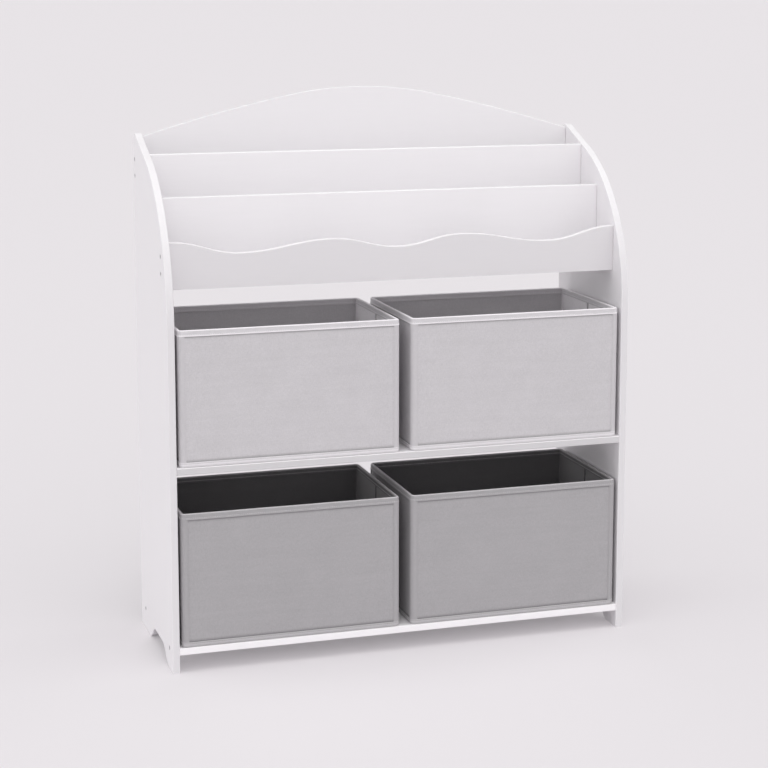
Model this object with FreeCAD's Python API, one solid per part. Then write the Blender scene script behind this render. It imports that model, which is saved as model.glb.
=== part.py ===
import FreeCAD, Part
import math
import os

# Toy storage organizer with four fabric bins, in millimetres.
# X runs to the right, the open front faces -Y and +Z is up.
# The origin is on the floor, at the middle of the width and the depth.

# ---- cabinet: overall -------------------------------------------------------
BOARD = 12.0                  # thickness of every painted board
INNER_WIDTH = 774.0           # between the two side panels
DEPTH = 280.0                 # front edge to rear edge of a side panel
CREST_HEIGHT = 938.0          # top of the arched back board
EDGE_ROUND = 1.4              # rounding of the edges that a hand meets

# ---- side panel -------------------------------------------------------------
FRONT_EDGE_HEIGHT = 574.0     # where the straight front edge turns into the arc
FRONT_ARC_RADIUS = 275.0      # the large rounded front top
TOP_SLOPE_DEG = 22.0          # slope of the short run behind the arc
REAR_CORNER_RADIUS = 18.0     # rounded rear top corner
FRONT_FOOT_LENGTH = 34.0      # front foot, along the floor
REAR_FOOT_LENGTH = 75.0       # rear foot, along the floor
FOOT_ARCH_HEIGHT = 26.0       # height of the arch between the feet
FOOT_FLANK_LENGTH = 56.0      # length of the S curve at each end of the arch

# ---- shelves ----------------------------------------------------------------
BOTTOM_SHELF_UNDERSIDE = 30.0
MIDDLE_SHELF_UNDERSIDE = 331.0

# ---- book rack --------------------------------------------------------------
RACK_FRONT = 40.0             # front face of the wavy board, behind the front edge
RACK_PITCH = 72.4             # front face to front face of the four upright boards
RACK_UNDERSIDE = 627.0        # underside of the wavy board and the front pocket
POCKET_STEP = 65.2            # each pocket is this much higher than the one in front
DIVIDER_HEIGHT = 141.2        # upright divider, bottom edge to top edge
# the wavy top edge, from the middle outwards: distance from the middle, height
WAVE_TURNS = ((0.0, 683.0), (112.0, 700.0), (267.0, 683.0), (INNER_WIDTH / 2, 704.0))
WAVE_EASE = 0.42              # share of a half wave over which the curve leaves level

# ---- arched back board ------------------------------------------------------
DOME_HALF_WIDTH = 130.0       # the tighter middle of the arch
DOME_RADIUS = 650.0
SHOULDER_RADIUS = 2570.0      # the flatter run from the dome to each side

# ---- screws and dowels ------------------------------------------------------
SCREW_HEAD_RADIUS = 4.0
SCREW_SHANK_RADIUS = 2.0
SCREW_LENGTH = 40.0
SCREW_TIP = 4.0
SCREW_SINK = 0.4              # head below the panel's outer face
SOCKET_ACROSS_FLATS = 3.0
SOCKET_DEPTH = 1.4
SCREW_PAIR_SPACING = 28.0     # two screws into the end of an upright board
WAVE_SCREWS_HEIGHT = 667.0    # middle of the pair in the wavy board
BACK_SCREWS_HEIGHT = 805.5    # middle of the pair in the arched board
SHELF_SCREW_SETBACKS = (27.0, 241.0)
DOWEL_RADIUS = 3.0
DOWEL_LENGTH = 23.0
DOWEL_IN_PANEL = 7.5          # depth of a dowel in the side panel
DOWEL_CHAMFER = 0.8
DIVIDER_DOWEL_HEIGHTS = (42.0, 106.0)         # above the divider's bottom edge
FLOOR_DOWEL_SETBACKS = (18.0, 42.0)           # behind a pocket floor's front edge
MIDDLE_SHELF_DOWEL_SETBACKS = (34.0, 134.0, 234.0)
BOTTOM_SHELF_DOWEL_SETBACK = 134.0
HOLE_SLACK = 0.1              # radial clearance of every screw and dowel hole
HOLE_END_SLACK = 0.5

# ---- fabric bins ------------------------------------------------------------
BIN_WIDTH = 371.5
BIN_DEPTH = 241.0
BIN_HEIGHT = 224.3
BIN_SETBACK = 1.0             # bin's front behind the cabinet's front edge
BIN_MIDDLE_GAP = 20.4         # between the two bins of a bay
BIN_LIFT = 0.3                # clearance between a bin and its shelf
FABRIC = 0.9                  # one layer of fabric
WALL_BOARD = 2.2              # cardboard in a bin's wall
TAPE = 0.7                    # rim binding, hem and corner piping
RIM_HEIGHT = 10.5
HEM_HEIGHT = 8.5
PIPING_WIDTH = 3.5
COVER_CORNER_RADIUS = 7.3     # vertical corners of the cover
LINING_CORNER_RADIUS = 4.2    # vertical corners of the lining
INSERT_CORNER_RADIUS = 3.0    # vertical corners of the loose covered board
SHARPEST_CORNER = 0.3         # least radius inside a wall
INSERT = 2.6                  # loose covered board in the bottom
INSERT_SLACK = 1.5            # insert to lining, all round
CORNER_GAP = 4.5              # bare fabric from a wall board's end to a vertical corner
FOLD_GAP = 8.0                # bare fabric between the two boards of a side wall

# ---- values worked out from the ones above ----------------------------------
SIDE_X = INNER_WIDTH / 2
OUTER_X = SIDE_X + BOARD
FRONT_Y = -DEPTH / 2
REAR_Y = DEPTH / 2
WAVE_Y = FRONT_Y + RACK_FRONT
DIVIDER_YS = [WAVE_Y + RACK_PITCH, WAVE_Y + 2 * RACK_PITCH]
BACK_Y = WAVE_Y + 3 * RACK_PITCH
BACK_REAR_Y = BACK_Y + BOARD
POCKET_UNDERSIDES = [RACK_UNDERSIDE + i * POCKET_STEP for i in range(3)]
BACK_UNDERSIDE = POCKET_UNDERSIDES[2]
BOTTOM_SHELF_TOP = BOTTOM_SHELF_UNDERSIDE + BOARD
MIDDLE_SHELF_TOP = MIDDLE_SHELF_UNDERSIDE + BOARD
BIN_WALL = 2 * FABRIC + WALL_BOARD
WALL_BOARD_BOTTOM = 2 * FABRIC
WALL_BOARD_TOP = BIN_HEIGHT - TAPE - FABRIC
CUT_OVERRUN = 1.0             # a cutting tool runs this far past a face
TOUCH = 1e-6                  # two places nearer than this are the same

X_AXIS = FreeCAD.Vector(1, 0, 0)
Y_AXIS = FreeCAD.Vector(0, 1, 0)
Z_AXIS = FreeCAD.Vector(0, 0, 1)


def vec(x, y, z):
    """Point in millimetres."""
    return FreeCAD.Vector(x, y, z)


def block(x0, x1, y0, y1, z0, z1):
    """Plain box between two corners."""
    return Part.makeBox(x1 - x0, y1 - y0, z1 - z0, vec(x0, y0, z0))


def upright_edges(solid):
    """Straight edges of a solid that run along Z."""
    found = []
    for edge in solid.Edges:
        if isinstance(edge.Curve, Part.Line) and abs(edge.Curve.Direction.z) > 1 - TOUCH:
            found.append(edge)
    return found


def ease(board, picked):
    """Rounds the edges that lie in one plane y and whose box passes picked(box)."""
    eased = []
    for edge in board.Edges:
        if abs(edge.Vertexes[0].Y - edge.Vertexes[-1].Y) < TOUCH and picked(edge.BoundBox):
            eased.append(edge)
    return board.makeFillet(EDGE_ROUND, eased)


def ease_ends(board, y):
    """Rounds the two upright front edges of a board whose front face is at y."""
    mould = block(-SIDE_X, SIDE_X, y, y + BOARD, -CUT_OVERRUN, CREST_HEIGHT + CUT_OVERRUN)
    front = [edge for edge in upright_edges(mould) if edge.CenterOfMass.y < y + TOUCH]
    return board.common(mould.makeFillet(EDGE_ROUND, front))


# ---- side panels ------------------------------------------------------------
def s_curve(start, end):
    """Edge from start to end that leaves both points level."""
    middle = (start.y + end.y) / 2
    curve = Part.BezierCurve()
    curve.setPoles([start, vec(0, middle, start.z), vec(0, middle, end.z), end])
    return curve.toShape()


def side_outline():
    """Closed outline of a side panel in the plane x = 0, from the front foot upwards."""
    slope = math.radians(TOP_SLOPE_DEG)
    arc_centre = vec(0, FRONT_Y + FRONT_ARC_RADIUS, FRONT_EDGE_HEIGHT)
    end_angle = math.pi / 2 + slope
    middle_angle = (math.pi + end_angle) / 2
    arc_end = arc_centre + vec(0, math.cos(end_angle), math.sin(end_angle)) * FRONT_ARC_RADIUS
    arc_middle = arc_centre + vec(0, math.cos(middle_angle), math.sin(middle_angle)) * FRONT_ARC_RADIUS
    front_foot = vec(0, FRONT_Y, 0)
    front_edge_top = vec(0, FRONT_Y, FRONT_EDGE_HEIGHT)

    # the rear corner arc touches the sloping run and the vertical rear edge
    normal = vec(0, -math.sin(slope), math.cos(slope))
    run_end_y = REAR_Y - REAR_CORNER_RADIUS + normal.y * REAR_CORNER_RADIUS
    run_end = arc_end + vec(0, 1, math.tan(slope)) * (run_end_y - arc_end.y)
    corner_centre = run_end - normal * REAR_CORNER_RADIUS
    turn = (math.pi / 2 + slope) / 2
    corner_middle = corner_centre + vec(0, math.cos(turn), math.sin(turn)) * REAR_CORNER_RADIUS
    rear_edge_top = corner_centre + vec(0, REAR_CORNER_RADIUS, 0)

    rear_foot = vec(0, REAR_Y, 0)
    rear_foot_toe = vec(0, REAR_Y - REAR_FOOT_LENGTH, 0)
    front_foot_toe = vec(0, FRONT_Y + FRONT_FOOT_LENGTH, 0)
    arch_rear = rear_foot_toe + vec(0, -FOOT_FLANK_LENGTH, FOOT_ARCH_HEIGHT)
    arch_front = front_foot_toe + vec(0, FOOT_FLANK_LENGTH, FOOT_ARCH_HEIGHT)
    return Part.Wire([
        Part.makeLine(front_foot, front_edge_top),
        Part.Arc(front_edge_top, arc_middle, arc_end).toShape(),
        Part.makeLine(arc_end, run_end),
        Part.Arc(run_end, corner_middle, rear_edge_top).toShape(),
        Part.makeLine(rear_edge_top, rear_foot),
        Part.makeLine(rear_foot, rear_foot_toe),
        s_curve(rear_foot_toe, arch_rear),
        Part.makeLine(arch_rear, arch_front),
        s_curve(arch_front, front_foot_toe),
        Part.makeLine(front_foot_toe, front_foot),
    ])


def blank_side_panel():
    """Left side panel with eased edges, before its holes."""
    panel = Part.Face(side_outline()).extrude(X_AXIS * BOARD)
    panel.translate(X_AXIS * -OUTER_X)
    rims = [edge for edge in panel.Edges if abs(edge.Vertexes[0].X - edge.Vertexes[-1].X) < TOUCH]
    return panel.makeFillet(EDGE_ROUND, rims)


# ---- screws and dowels, all described on the left side ----------------------
def screw_places():
    """Axis points (y, z) of the screws through the left side panel."""
    places = []
    for y, height in ((WAVE_Y, WAVE_SCREWS_HEIGHT), (BACK_Y, BACK_SCREWS_HEIGHT)):
        places.append((y + BOARD / 2, height - SCREW_PAIR_SPACING / 2))
        places.append((y + BOARD / 2, height + SCREW_PAIR_SPACING / 2))
    for setback in SHELF_SCREW_SETBACKS:
        places.append((FRONT_Y + setback, BOTTOM_SHELF_UNDERSIDE + BOARD / 2))
    return places


def dowel_places():
    """Axis points (y, z) of the blind dowels in the left side panel."""
    places = []
    for y, underside in zip(DIVIDER_YS, POCKET_UNDERSIDES):
        for height in DIVIDER_DOWEL_HEIGHTS:
            places.append((y + BOARD / 2, underside + height))
    for y, underside in zip([WAVE_Y] + DIVIDER_YS, POCKET_UNDERSIDES):
        for setback in FLOOR_DOWEL_SETBACKS:
            places.append((y + BOARD + setback, underside + BOARD / 2))
    for setback in MIDDLE_SHELF_DOWEL_SETBACKS:
        places.append((FRONT_Y + setback, MIDDLE_SHELF_UNDERSIDE + BOARD / 2))
    places.append((FRONT_Y + BOTTOM_SHELF_DOWEL_SETBACK, BOTTOM_SHELF_UNDERSIDE + BOARD / 2))
    return places


def screw(y, z):
    """Countersunk screw driven in from the left."""
    head_x = -OUTER_X + SCREW_SINK
    sink = SCREW_HEAD_RADIUS - SCREW_SHANK_RADIUS
    head = Part.makeCone(SCREW_HEAD_RADIUS, SCREW_SHANK_RADIUS, sink, vec(head_x, y, z), X_AXIS)
    shank_length = SCREW_LENGTH - sink - SCREW_TIP
    shank = Part.makeCylinder(SCREW_SHANK_RADIUS, shank_length, vec(head_x + sink, y, z), X_AXIS)
    tip = Part.makeCone(SCREW_SHANK_RADIUS, SCREW_SHANK_RADIUS / 4, SCREW_TIP,
                        vec(head_x + sink + shank_length, y, z), X_AXIS)
    socket_radius = SOCKET_ACROSS_FLATS / math.sqrt(3)
    corners = []
    for turn in (math.radians(60 * i) for i in range(7)):
        corners.append(vec(head_x, y + socket_radius * math.cos(turn), z + socket_radius * math.sin(turn)))
    socket = Part.Face(Part.makePolygon(corners)).extrude(X_AXIS * SOCKET_DEPTH)
    return head.fuse([shank, tip]).removeSplitter().cut(socket)


def screw_hole(y, z):
    """Countersunk clearance hole for one screw, with its pilot in the board's end."""
    radius = SCREW_SHANK_RADIUS + HOLE_SLACK
    sink = SCREW_HEAD_RADIUS - SCREW_SHANK_RADIUS
    mouth = Part.makeCylinder(SCREW_HEAD_RADIUS + HOLE_SLACK, SCREW_SINK + CUT_OVERRUN,
                              vec(-OUTER_X - CUT_OVERRUN, y, z), X_AXIS)
    cone = Part.makeCone(SCREW_HEAD_RADIUS + HOLE_SLACK, radius, sink,
                         vec(-OUTER_X + SCREW_SINK, y, z), X_AXIS)
    bore = Part.makeCylinder(radius, SCREW_LENGTH + SCREW_SINK + HOLE_END_SLACK, vec(-OUTER_X, y, z), X_AXIS)
    return mouth.fuse([cone, bore])


def dowel(y, z):
    """Wooden dowel with chamfered ends, half in the side panel and half in a board."""
    start = -SIDE_X - DOWEL_IN_PANEL
    pin = Part.makeCylinder(DOWEL_RADIUS, DOWEL_LENGTH, vec(start, y, z), X_AXIS)
    rims = [edge for edge in pin.Edges if isinstance(edge.Curve, Part.Circle)]
    return pin.makeChamfer(DOWEL_CHAMFER, rims)


def dowel_hole(y, z):
    """Blind hole for one dowel, through the joint between panel and board."""
    start = -SIDE_X - DOWEL_IN_PANEL - HOLE_END_SLACK
    length = DOWEL_LENGTH + 2 * HOLE_END_SLACK
    return Part.makeCylinder(DOWEL_RADIUS + HOLE_SLACK, length, vec(start, y, z), X_AXIS)


def mirrored(shape):
    """The same shape on the right-hand side."""
    return shape.mirror(vec(0, 0, 0), X_AXIS)


def both_sides(shapes):
    """Compound of the shapes on the left and their mirror images on the right."""
    return Part.makeCompound(shapes + [mirrored(shape) for shape in shapes])


def all_holes():
    """Every screw and dowel hole, on both sides."""
    holes = [screw_hole(y, z) for y, z in screw_places()]
    holes += [dowel_hole(y, z) for y, z in dowel_places()]
    return both_sides(holes)


# ---- boards that span the cabinet -------------------------------------------
def shoulder_centre():
    """Centre (x, z) of the right shoulder's arc, which is tangent to the dome."""
    lean = math.asin(DOME_HALF_WIDTH / DOME_RADIUS)
    x = DOME_HALF_WIDTH - SHOULDER_RADIUS * math.sin(lean)
    z = CREST_HEIGHT - DOME_RADIUS + (DOME_RADIUS - SHOULDER_RADIUS) * math.cos(lean)
    return x, z


def arch_point(x):
    """Point on the arched top edge. x may be on either side of the middle."""
    out = abs(x)
    if out <= DOME_HALF_WIDTH:
        return vec(x, BACK_Y, CREST_HEIGHT - DOME_RADIUS + math.sqrt(DOME_RADIUS ** 2 - out ** 2))
    centre_x, centre_z = shoulder_centre()
    return vec(x, BACK_Y, centre_z + math.sqrt(SHOULDER_RADIUS ** 2 - (out - centre_x) ** 2))


def arch_edge(x0, x1):
    """Arc of the top edge between two places."""
    return Part.Arc(arch_point(x0), arch_point((x0 + x1) / 2), arch_point(x1)).toShape()


def arched_back_board():
    """Back board whose top edge is one dome between two flatter shoulders."""
    left_foot = vec(-SIDE_X, BACK_Y, BACK_UNDERSIDE)
    right_foot = vec(SIDE_X, BACK_Y, BACK_UNDERSIDE)
    outline = Part.Wire([
        Part.makeLine(left_foot, arch_point(-SIDE_X)),
        arch_edge(-SIDE_X, -DOME_HALF_WIDTH),
        arch_edge(-DOME_HALF_WIDTH, DOME_HALF_WIDTH),
        arch_edge(DOME_HALF_WIDTH, SIDE_X),
        Part.makeLine(arch_point(SIDE_X), right_foot),
        Part.makeLine(right_foot, left_foot),
    ])
    board = Part.Face(outline).extrude(Y_AXIS * BOARD)
    low = arch_point(SIDE_X).z - EDGE_ROUND
    return ease_ends(ease(board, lambda box: box.ZMin > low), BACK_Y)


def wave_edges():
    """Edges of the wavy top, from the left end to the right end."""
    turns = [(-x, z) for x, z in reversed(WAVE_TURNS[1:])] + list(WAVE_TURNS)
    edges = []
    for (x0, z0), (x1, z1) in zip(turns, turns[1:]):
        level = (x1 - x0) * WAVE_EASE
        curve = Part.BezierCurve()
        curve.setPoles([vec(x0, WAVE_Y, z0), vec(x0 + level, WAVE_Y, z0),
                        vec(x1 - level, WAVE_Y, z1), vec(x1, WAVE_Y, z1)])
        edges.append(curve.toShape())
    return edges


def wave_front_board():
    """Front board of the book rack, with a wavy top edge."""
    end_z = WAVE_TURNS[-1][1]
    low_left = vec(-SIDE_X, WAVE_Y, RACK_UNDERSIDE)
    low_right = vec(SIDE_X, WAVE_Y, RACK_UNDERSIDE)
    outline = Part.Wire([Part.makeLine(low_left, vec(-SIDE_X, WAVE_Y, end_z))] + wave_edges() + [
        Part.makeLine(vec(SIDE_X, WAVE_Y, end_z), low_right),
        Part.makeLine(low_right, low_left),
    ])
    board = Part.Face(outline).extrude(Y_AXIS * BOARD)
    low = WAVE_TURNS[0][1] - EDGE_ROUND
    return ease_ends(ease(board, lambda box: box.ZMin > low), WAVE_Y)


def divider(y, underside):
    """Straight upright divider with an eased top edge."""
    top = underside + DIVIDER_HEIGHT
    board = block(-SIDE_X, SIDE_X, y, y + BOARD, underside, top)
    return ease_ends(ease(board, lambda box: box.ZMin > top - EDGE_ROUND), y)


def pocket_floor(y, underside):
    """Floor of one pocket, between the board in front of it and the one behind."""
    return block(-SIDE_X, SIDE_X, y + BOARD, y + RACK_PITCH, underside, underside + BOARD)


def shelf(underside):
    """Shelf from the front edge to the arched board's rear face, with an eased front edge."""
    board = block(-SIDE_X, SIDE_X, FRONT_Y, BACK_REAR_Y, underside, underside + BOARD)
    return ease(board, lambda box: box.YMax < FRONT_Y + EDGE_ROUND)


# ---- fabric bins, each described in its own corner and then moved ----------
def tray(inset, height, radius, wall, has_floor=False):
    """Open box that lies inset in the bin's outline, with rounded corners."""
    x = BIN_WIDTH - inset
    y = BIN_DEPTH - inset
    outer = block(inset, x, inset, y, 0, height)
    outer = outer.makeFillet(radius, upright_edges(outer))
    bottom = wall if has_floor else -CUT_OVERRUN
    inner = block(inset + wall, x - wall, inset + wall, y - wall, bottom, height + CUT_OVERRUN)
    inner = inner.makeFillet(max(radius - wall, SHARPEST_CORNER), upright_edges(inner))
    return outer.cut(inner)


def raised(shape, z):
    """The shape, lifted."""
    shape.translate(Z_AXIS * z)
    return shape


def bin_cover():
    """Outer fabric with the bottom, below the folded rim tape."""
    return tray(TAPE, BIN_HEIGHT - TAPE, COVER_CORNER_RADIUS, FABRIC, has_floor=True)


def bin_lining():
    """Inner fabric, a sleeve that stands on the cover's bottom."""
    sleeve = tray(TAPE + FABRIC + WALL_BOARD, BIN_HEIGHT - TAPE - FABRIC, LINING_CORNER_RADIUS, FABRIC)
    return raised(sleeve, FABRIC)


def rim_binding():
    """Tape folded over the top edge, with a leg outside and a leg inside."""
    band = tray(0, RIM_HEIGHT, COVER_CORNER_RADIUS + TAPE, BIN_WALL + 2 * TAPE)
    wall = raised(tray(TAPE, RIM_HEIGHT, COVER_CORNER_RADIUS, BIN_WALL), -TAPE)
    return raised(band.cut(wall), BIN_HEIGHT - RIM_HEIGHT)


def base_hem():
    """Band round the bottom edge, outside the cover."""
    return tray(0, HEM_HEIGHT, COVER_CORNER_RADIUS + TAPE, TAPE)


def corner_piping():
    """Strip round each vertical corner, between the hem and the rim tape."""
    height = BIN_HEIGHT - RIM_HEIGHT - HEM_HEIGHT
    sleeve = tray(0, height, COVER_CORNER_RADIUS + TAPE, TAPE)
    reach = COVER_CORNER_RADIUS + PIPING_WIDTH
    strips = []
    for x in (0, BIN_WIDTH - reach):
        for y in (0, BIN_DEPTH - reach):
            corner = block(x, x + reach, y, y + reach, -CUT_OVERRUN, height + CUT_OVERRUN)
            strips.append(sleeve.common(corner))
    return raised(Part.makeCompound(strips), HEM_HEIGHT)


def end_board(y):
    """Cardboard in the front wall or the rear wall, with its front face at y."""
    ends = TAPE + FABRIC + WALL_BOARD + CORNER_GAP
    return block(ends, BIN_WIDTH - ends, y, y + WALL_BOARD, WALL_BOARD_BOTTOM, WALL_BOARD_TOP)


def side_boards():
    """Cardboard in the two side walls, each in two halves with a fold line between."""
    inset = TAPE + FABRIC
    ends = inset + WALL_BOARD + CORNER_GAP
    fold_front = (BIN_DEPTH - FOLD_GAP) / 2
    halves = []
    for x in (inset, BIN_WIDTH - inset - WALL_BOARD):
        for y0, y1 in ((ends, fold_front), (fold_front + FOLD_GAP, BIN_DEPTH - ends)):
            halves.append(block(x, x + WALL_BOARD, y0, y1, WALL_BOARD_BOTTOM, WALL_BOARD_TOP))
    return Part.makeCompound(halves)


def base_insert():
    """Loose covered board that lies in the bottom."""
    inset = TAPE + BIN_WALL + INSERT_SLACK
    board = block(inset, BIN_WIDTH - inset, inset, BIN_DEPTH - inset, FABRIC, FABRIC + INSERT)
    return board.makeFillet(INSERT_CORNER_RADIUS, upright_edges(board))


def bin_parts():
    """The nine pieces of one bin, by name."""
    return {
        "cover": bin_cover(),
        "lining": bin_lining(),
        "rim_binding": rim_binding(),
        "corner_piping": corner_piping(),
        "base_hem": base_hem(),
        "front_board": end_board(TAPE + FABRIC),
        "back_board": end_board(BIN_DEPTH - TAPE - FABRIC - WALL_BOARD),
        "side_boards": side_boards(),
        "base_insert": base_insert(),
    }


def bin_places():
    """Front left bottom corner of each bin, by the bin's name."""
    left = -BIN_MIDDLE_GAP / 2 - BIN_WIDTH
    right = BIN_MIDDLE_GAP / 2
    y = FRONT_Y + BIN_SETBACK
    return {
        "upper_left_bin": vec(left, y, MIDDLE_SHELF_TOP + BIN_LIFT),
        "upper_right_bin": vec(right, y, MIDDLE_SHELF_TOP + BIN_LIFT),
        "lower_left_bin": vec(left, y, BOTTOM_SHELF_TOP + BIN_LIFT),
        "lower_right_bin": vec(right, y, BOTTOM_SHELF_TOP + BIN_LIFT),
    }


# ---- the whole object -------------------------------------------------------
def cabinet_nodes():
    """The cabinet's pieces, by node name."""
    holes = all_holes()
    left = blank_side_panel()
    return {
        "left_side_panel": left.cut(holes),
        "right_side_panel": mirrored(left).cut(holes),
        "wave_front_board": wave_front_board().cut(holes),
        "middle_divider": divider(DIVIDER_YS[0], POCKET_UNDERSIDES[0]).cut(holes),
        "rear_divider": divider(DIVIDER_YS[1], POCKET_UNDERSIDES[1]).cut(holes),
        "front_pocket_floor": pocket_floor(WAVE_Y, POCKET_UNDERSIDES[0]).cut(holes),
        "middle_pocket_floor": pocket_floor(DIVIDER_YS[0], POCKET_UNDERSIDES[1]).cut(holes),
        "rear_pocket_floor": pocket_floor(DIVIDER_YS[1], POCKET_UNDERSIDES[2]).cut(holes),
        "arched_back_board": arched_back_board().cut(holes),
        "middle_shelf": shelf(MIDDLE_SHELF_UNDERSIDE).cut(holes),
        "bottom_shelf": shelf(BOTTOM_SHELF_UNDERSIDE).cut(holes),
        "side_screws": both_sides([screw(y, z) for y, z in screw_places()]),
        "dowels": both_sides([dowel(y, z) for y, z in dowel_places()]),
    }


def bin_nodes():
    """Every piece of the four bins, by node name."""
    nodes = {}
    for bin_name, corner in bin_places().items():
        for part_name, shape in bin_parts().items():
            shape.translate(corner)
            nodes[bin_name + "_" + part_name] = shape
    return nodes


def main():
    """Writes one file for each piece."""
    os.makedirs("parts", exist_ok=True)
    nodes = cabinet_nodes()
    nodes.update(bin_nodes())
    for name, shape in nodes.items():
        solids = shape.Solids
        if not solids or not shape.isValid():
            raise ValueError(name + " is not a valid solid")
        whole = solids[0] if len(solids) == 1 else Part.makeCompound(solids)
        whole.exportStep("parts/" + name + ".step")
        box = whole.optimalBoundingBox(False)
        lows = [round(value, 2) for value in (box.XMin, box.YMin, box.ZMin)]
        highs = [round(value, 2) for value in (box.XMax, box.YMax, box.ZMax)]
        print(name, len(solids), "solids,", round(whole.Volume), "mm3, from", lows, "to", highs)


main()
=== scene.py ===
"""Looks of the toy storage organizer: painted cabinet and four fabric bins, in metres."""
import sys

import logging
import math
from collections.abc import Callable, Iterable
from dataclasses import dataclass, field
from enum import Enum
from itertools import product
from typing import Any

import bmesh
import bpy
from bpy.types import Material, Mesh, Node, NodeSocket, NodeTree, Object
from mathutils import Euler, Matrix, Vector, noise


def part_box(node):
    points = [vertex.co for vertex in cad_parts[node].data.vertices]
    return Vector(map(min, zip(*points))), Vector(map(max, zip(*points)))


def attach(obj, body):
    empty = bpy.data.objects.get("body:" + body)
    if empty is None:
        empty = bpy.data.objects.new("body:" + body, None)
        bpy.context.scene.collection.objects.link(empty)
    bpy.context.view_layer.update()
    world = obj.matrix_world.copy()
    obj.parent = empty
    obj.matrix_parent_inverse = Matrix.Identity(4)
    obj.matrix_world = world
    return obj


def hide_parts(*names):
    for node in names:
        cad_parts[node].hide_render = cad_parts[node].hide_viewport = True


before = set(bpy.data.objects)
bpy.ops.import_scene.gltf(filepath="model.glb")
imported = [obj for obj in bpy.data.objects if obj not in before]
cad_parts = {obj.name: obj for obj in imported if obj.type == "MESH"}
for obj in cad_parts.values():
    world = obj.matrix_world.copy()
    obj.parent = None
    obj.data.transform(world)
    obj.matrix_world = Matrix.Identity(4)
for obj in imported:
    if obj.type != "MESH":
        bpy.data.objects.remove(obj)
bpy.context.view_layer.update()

MM = 0.001
IMAGE_SIDE = 768
TAPE_MAP = "tape_uv"
PAINTED_SHADE_MAP = "fold_and_seam_painted_shade"
OUTWARD_MAP = "outward"
FABRIC_SHARP_ANGLE = math.radians(50.0)
TAPE_SHARP_ANGLE = math.radians(55.0)

Color = tuple[float, float, float]
Axis = tuple[float, float, float]
Ring = list[Vector]
Rail = tuple[Ring, Ring, bool]
Section = list[tuple[float, float]]
Inputs = dict[int | str, Any]

log = logging.getLogger("toy_organizer")


class Run(Enum):
    """Direction in which a board's paint streaks run, as the stretch of its pattern."""

    ACROSS = (0.06, 1.0, 1.0)
    UPRIGHT = (1.0, 1.0, 0.06)


class Thin(Enum):
    """Axis across a board's thickness."""

    X = (1.0, 0.0, 0.0)
    Y = (0.0, 1.0, 0.0)
    Z = (0.0, 0.0, 1.0)


class Layer(Enum):
    """Layers of a bin's fabric, by the place of their swells in the noise."""

    COVER = 0.0
    LINING = 20.0


class Side(Enum):
    """Sides of a bin seen from above, with the way that each one faces."""

    REAR = (0.0, 1.0)
    LEFT = (-1.0, 0.0)
    FRONT = (0.0, -1.0)
    RIGHT = (1.0, 0.0)

    @property
    def outward(self) -> Vector:
        """Unit vector that points out of the bin."""
        return Vector((*self.value, 0.0))

    @property
    def onward(self) -> Vector:
        """Unit vector along the side, anticlockwise seen from above."""
        return Vector((-self.value[1], self.value[0], 0.0))


def scaled(tone: Color, gain: float) -> Color:
    """A colour made lighter or darker."""
    return tuple(gain * c for c in tone)


def upward(height: float) -> Vector:
    """The way straight up from the floor."""
    return Vector((0.0, 0.0, height))


def arc(radius: float, degrees: Iterable[int], x: float = 0.0, y: float = 0.0) -> Section:
    """Points of an arc, by its radius, its angles and its centre."""
    angles = [math.radians(angle) for angle in degrees]
    return [(x + radius * math.cos(angle), y + radius * math.sin(angle)) for angle in angles]


def opaque(tone: Color) -> tuple[float, ...]:
    """A colour with an alpha of one."""
    return (*tone, 1.0)


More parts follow.
